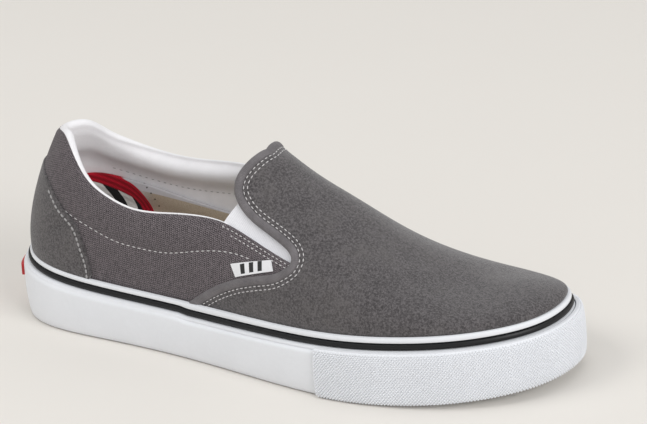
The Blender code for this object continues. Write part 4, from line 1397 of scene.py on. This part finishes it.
ridden = {
    topBand: (["foxing_top_band"], "white_rubber"),
    blackStripe: (["foxing_stripe"], "black_rubber"),
    sideWall: (["foxing"], "white_rubber"),
    toeBumper: (["toe_bumper"], "white_rubber"),
    bumperKnurl: ([], "white_rubber"),
    vampSuede: (["upper"], "grey_suede"),
    quarterCanvas: ([], "grey_suede"),
    collarLining: ([], "insole_cloth"),
    throatLining[0]: ([], "insole_cloth"),
    throatLining[1]: ([], "insole_cloth"),
    vampBinding: (["vamp_binding"], "grey_suede"),
    heelCounter: (["heel_counter"], "grey_suede"),
    goreOuter: (["gore_outer"], "white_elastic"),
    goreInner: (["gore_inner"], "white_elastic"),
    sideTag: (["side_tag"], "white_elastic"),
    insoleCup: (["insole"], "insole_cloth"),
    heelLabel: (["heel_label"], "red_rubber"),
    outsoleBlock: (["sole"], "outsole_rubber"),
    outsoleLugs: ([], "outsole_rubber"),
    vampStitches: ([], "grey_suede"),
    quarterStitches: ([], "grey_suede"),
    goreStitches: ([], "grey_suede"),
    counterStitches: ([], "grey_suede"),
    liningStitches: ([], "insole_cloth"),
}
for piece, (nodes, finishSlot) in ridden.items():
    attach(piece, "root")
    if nodes:
        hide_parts(*nodes)

# floor, light and camera
studio = {
    "azimuth": 33.99, "elevation": 23.28, "roll": -5.29, "distance": 1.580, "target": (0.146, 0.0, 0.040),
    "focalPixels": 3357.0, "targetPixel": (285.5, 259.05), "frame": (647, 424),
}


def studioFloor():
    mesh = bpy.data.meshes.new("studioFloor")
    rows = [(-4.0, 0.0), (4.0, 0.0)] + [(4.0 + 0.8 * math.sin(a), 0.8 - 0.8 * math.cos(a))
                                         for a in np.linspace(0.1, math.pi / 2, 12)] + [(4.8, 4.0)]
    points = [(x, y, z - 0.0001) for x in (-6.0, 6.0) for y, z in rows]
    size = len(rows)
    mesh.from_pydata(points, [], [(k, k + size, k + size + 1, k + 1) for k in range(size - 1)])
    mesh.materials.append(floorPale)
    mesh.shade_smooth()
    turned = Matrix.Rotation(math.radians(studio["azimuth"]), 4, "Z")
    mesh.transform(turned)
    floor = bpy.data.objects.new("studioFloor", mesh)
    bpy.context.scene.collection.objects.link(floor)


def studioCamera():
    a, e, r = (math.radians(studio[k]) for k in ("azimuth", "elevation", "roll"))
    back = Vector((math.sin(a) * math.cos(e), -math.cos(a) * math.cos(e), math.sin(e)))
    target = Vector(studio["target"]) + Vector(shoe["heelToMiddle"])
    spot = target + back * studio["distance"]
    forward = -back
    right = forward.cross(Vector((0, 0, 1))).normalized()
    up = right.cross(forward)
    right, up = right * math.cos(r) + up * math.sin(r), up * math.cos(r) - right * math.sin(r)
    # turn the camera so that the target lands on its own pixel of the frame
    wide, tall = studio["frame"]
    dx = (wide / 2 - studio["targetPixel"][0]) / studio["focalPixels"]
    dy = (studio["targetPixel"][1] - tall / 2) / studio["focalPixels"]
    forward = (forward + right * dx + up * dy).normalized()
    right = (right - forward * right.dot(forward)).normalized()
    up = right.cross(forward)
    camera = bpy.data.objects.new("studioCamera", bpy.data.cameras.new("studioCamera"))
    bpy.context.scene.collection.objects.link(camera)
    camera.matrix_world = Matrix.Translation(spot) @ Matrix((right, up, -forward)).transposed().to_4x4()
    camera.data.sensor_width = 36.0
    camera.data.lens = studio["focalPixels"] / wide * 36.0
    bpy.context.scene.camera = camera


def softLight(name, place, aim, size, power, colour=(1, 1, 1)):
    lamp = bpy.data.lights.new(name, "AREA")
    lamp.shape = "RECTANGLE"
    lamp.size, lamp.size_y = size
    lamp.energy = power
    lamp.color = colour
    light = bpy.data.objects.new(name, lamp)
    bpy.context.scene.collection.objects.link(light)
    light.location = place
    light.rotation_mode = "QUATERNION"
    light.rotation_quaternion = (Vector(aim) - Vector(place)).to_track_quat("-Z", "Y")


studioFloor()
studioCamera()
softLight("keyLight", (-0.9, -0.9, 1.5), (0, 0, 0.03), (1.0, 1.0), 11, (1.0, 0.99, 0.98))
softLight("fillLight", (2.6, -0.9, 1.4), (0, 0, 0.03), (1.8, 1.4), 45, (0.99, 0.99, 1.0))
softLight("topLight", (0.2, 0.5, 1.8), (0, 0, 0), (1.6, 1.2), 4.5)
world = bpy.data.worlds.new("studioWorld")
world.use_nodes = True
world.node_tree.nodes["Background"].inputs[0].default_value = (0.98, 0.99, 1.0, 1)
world.node_tree.nodes["Background"].inputs[1].default_value = 0.56
bpy.context.scene.world = world
bpy.context.scene.view_settings.view_transform = "Standard"
print("studio made")
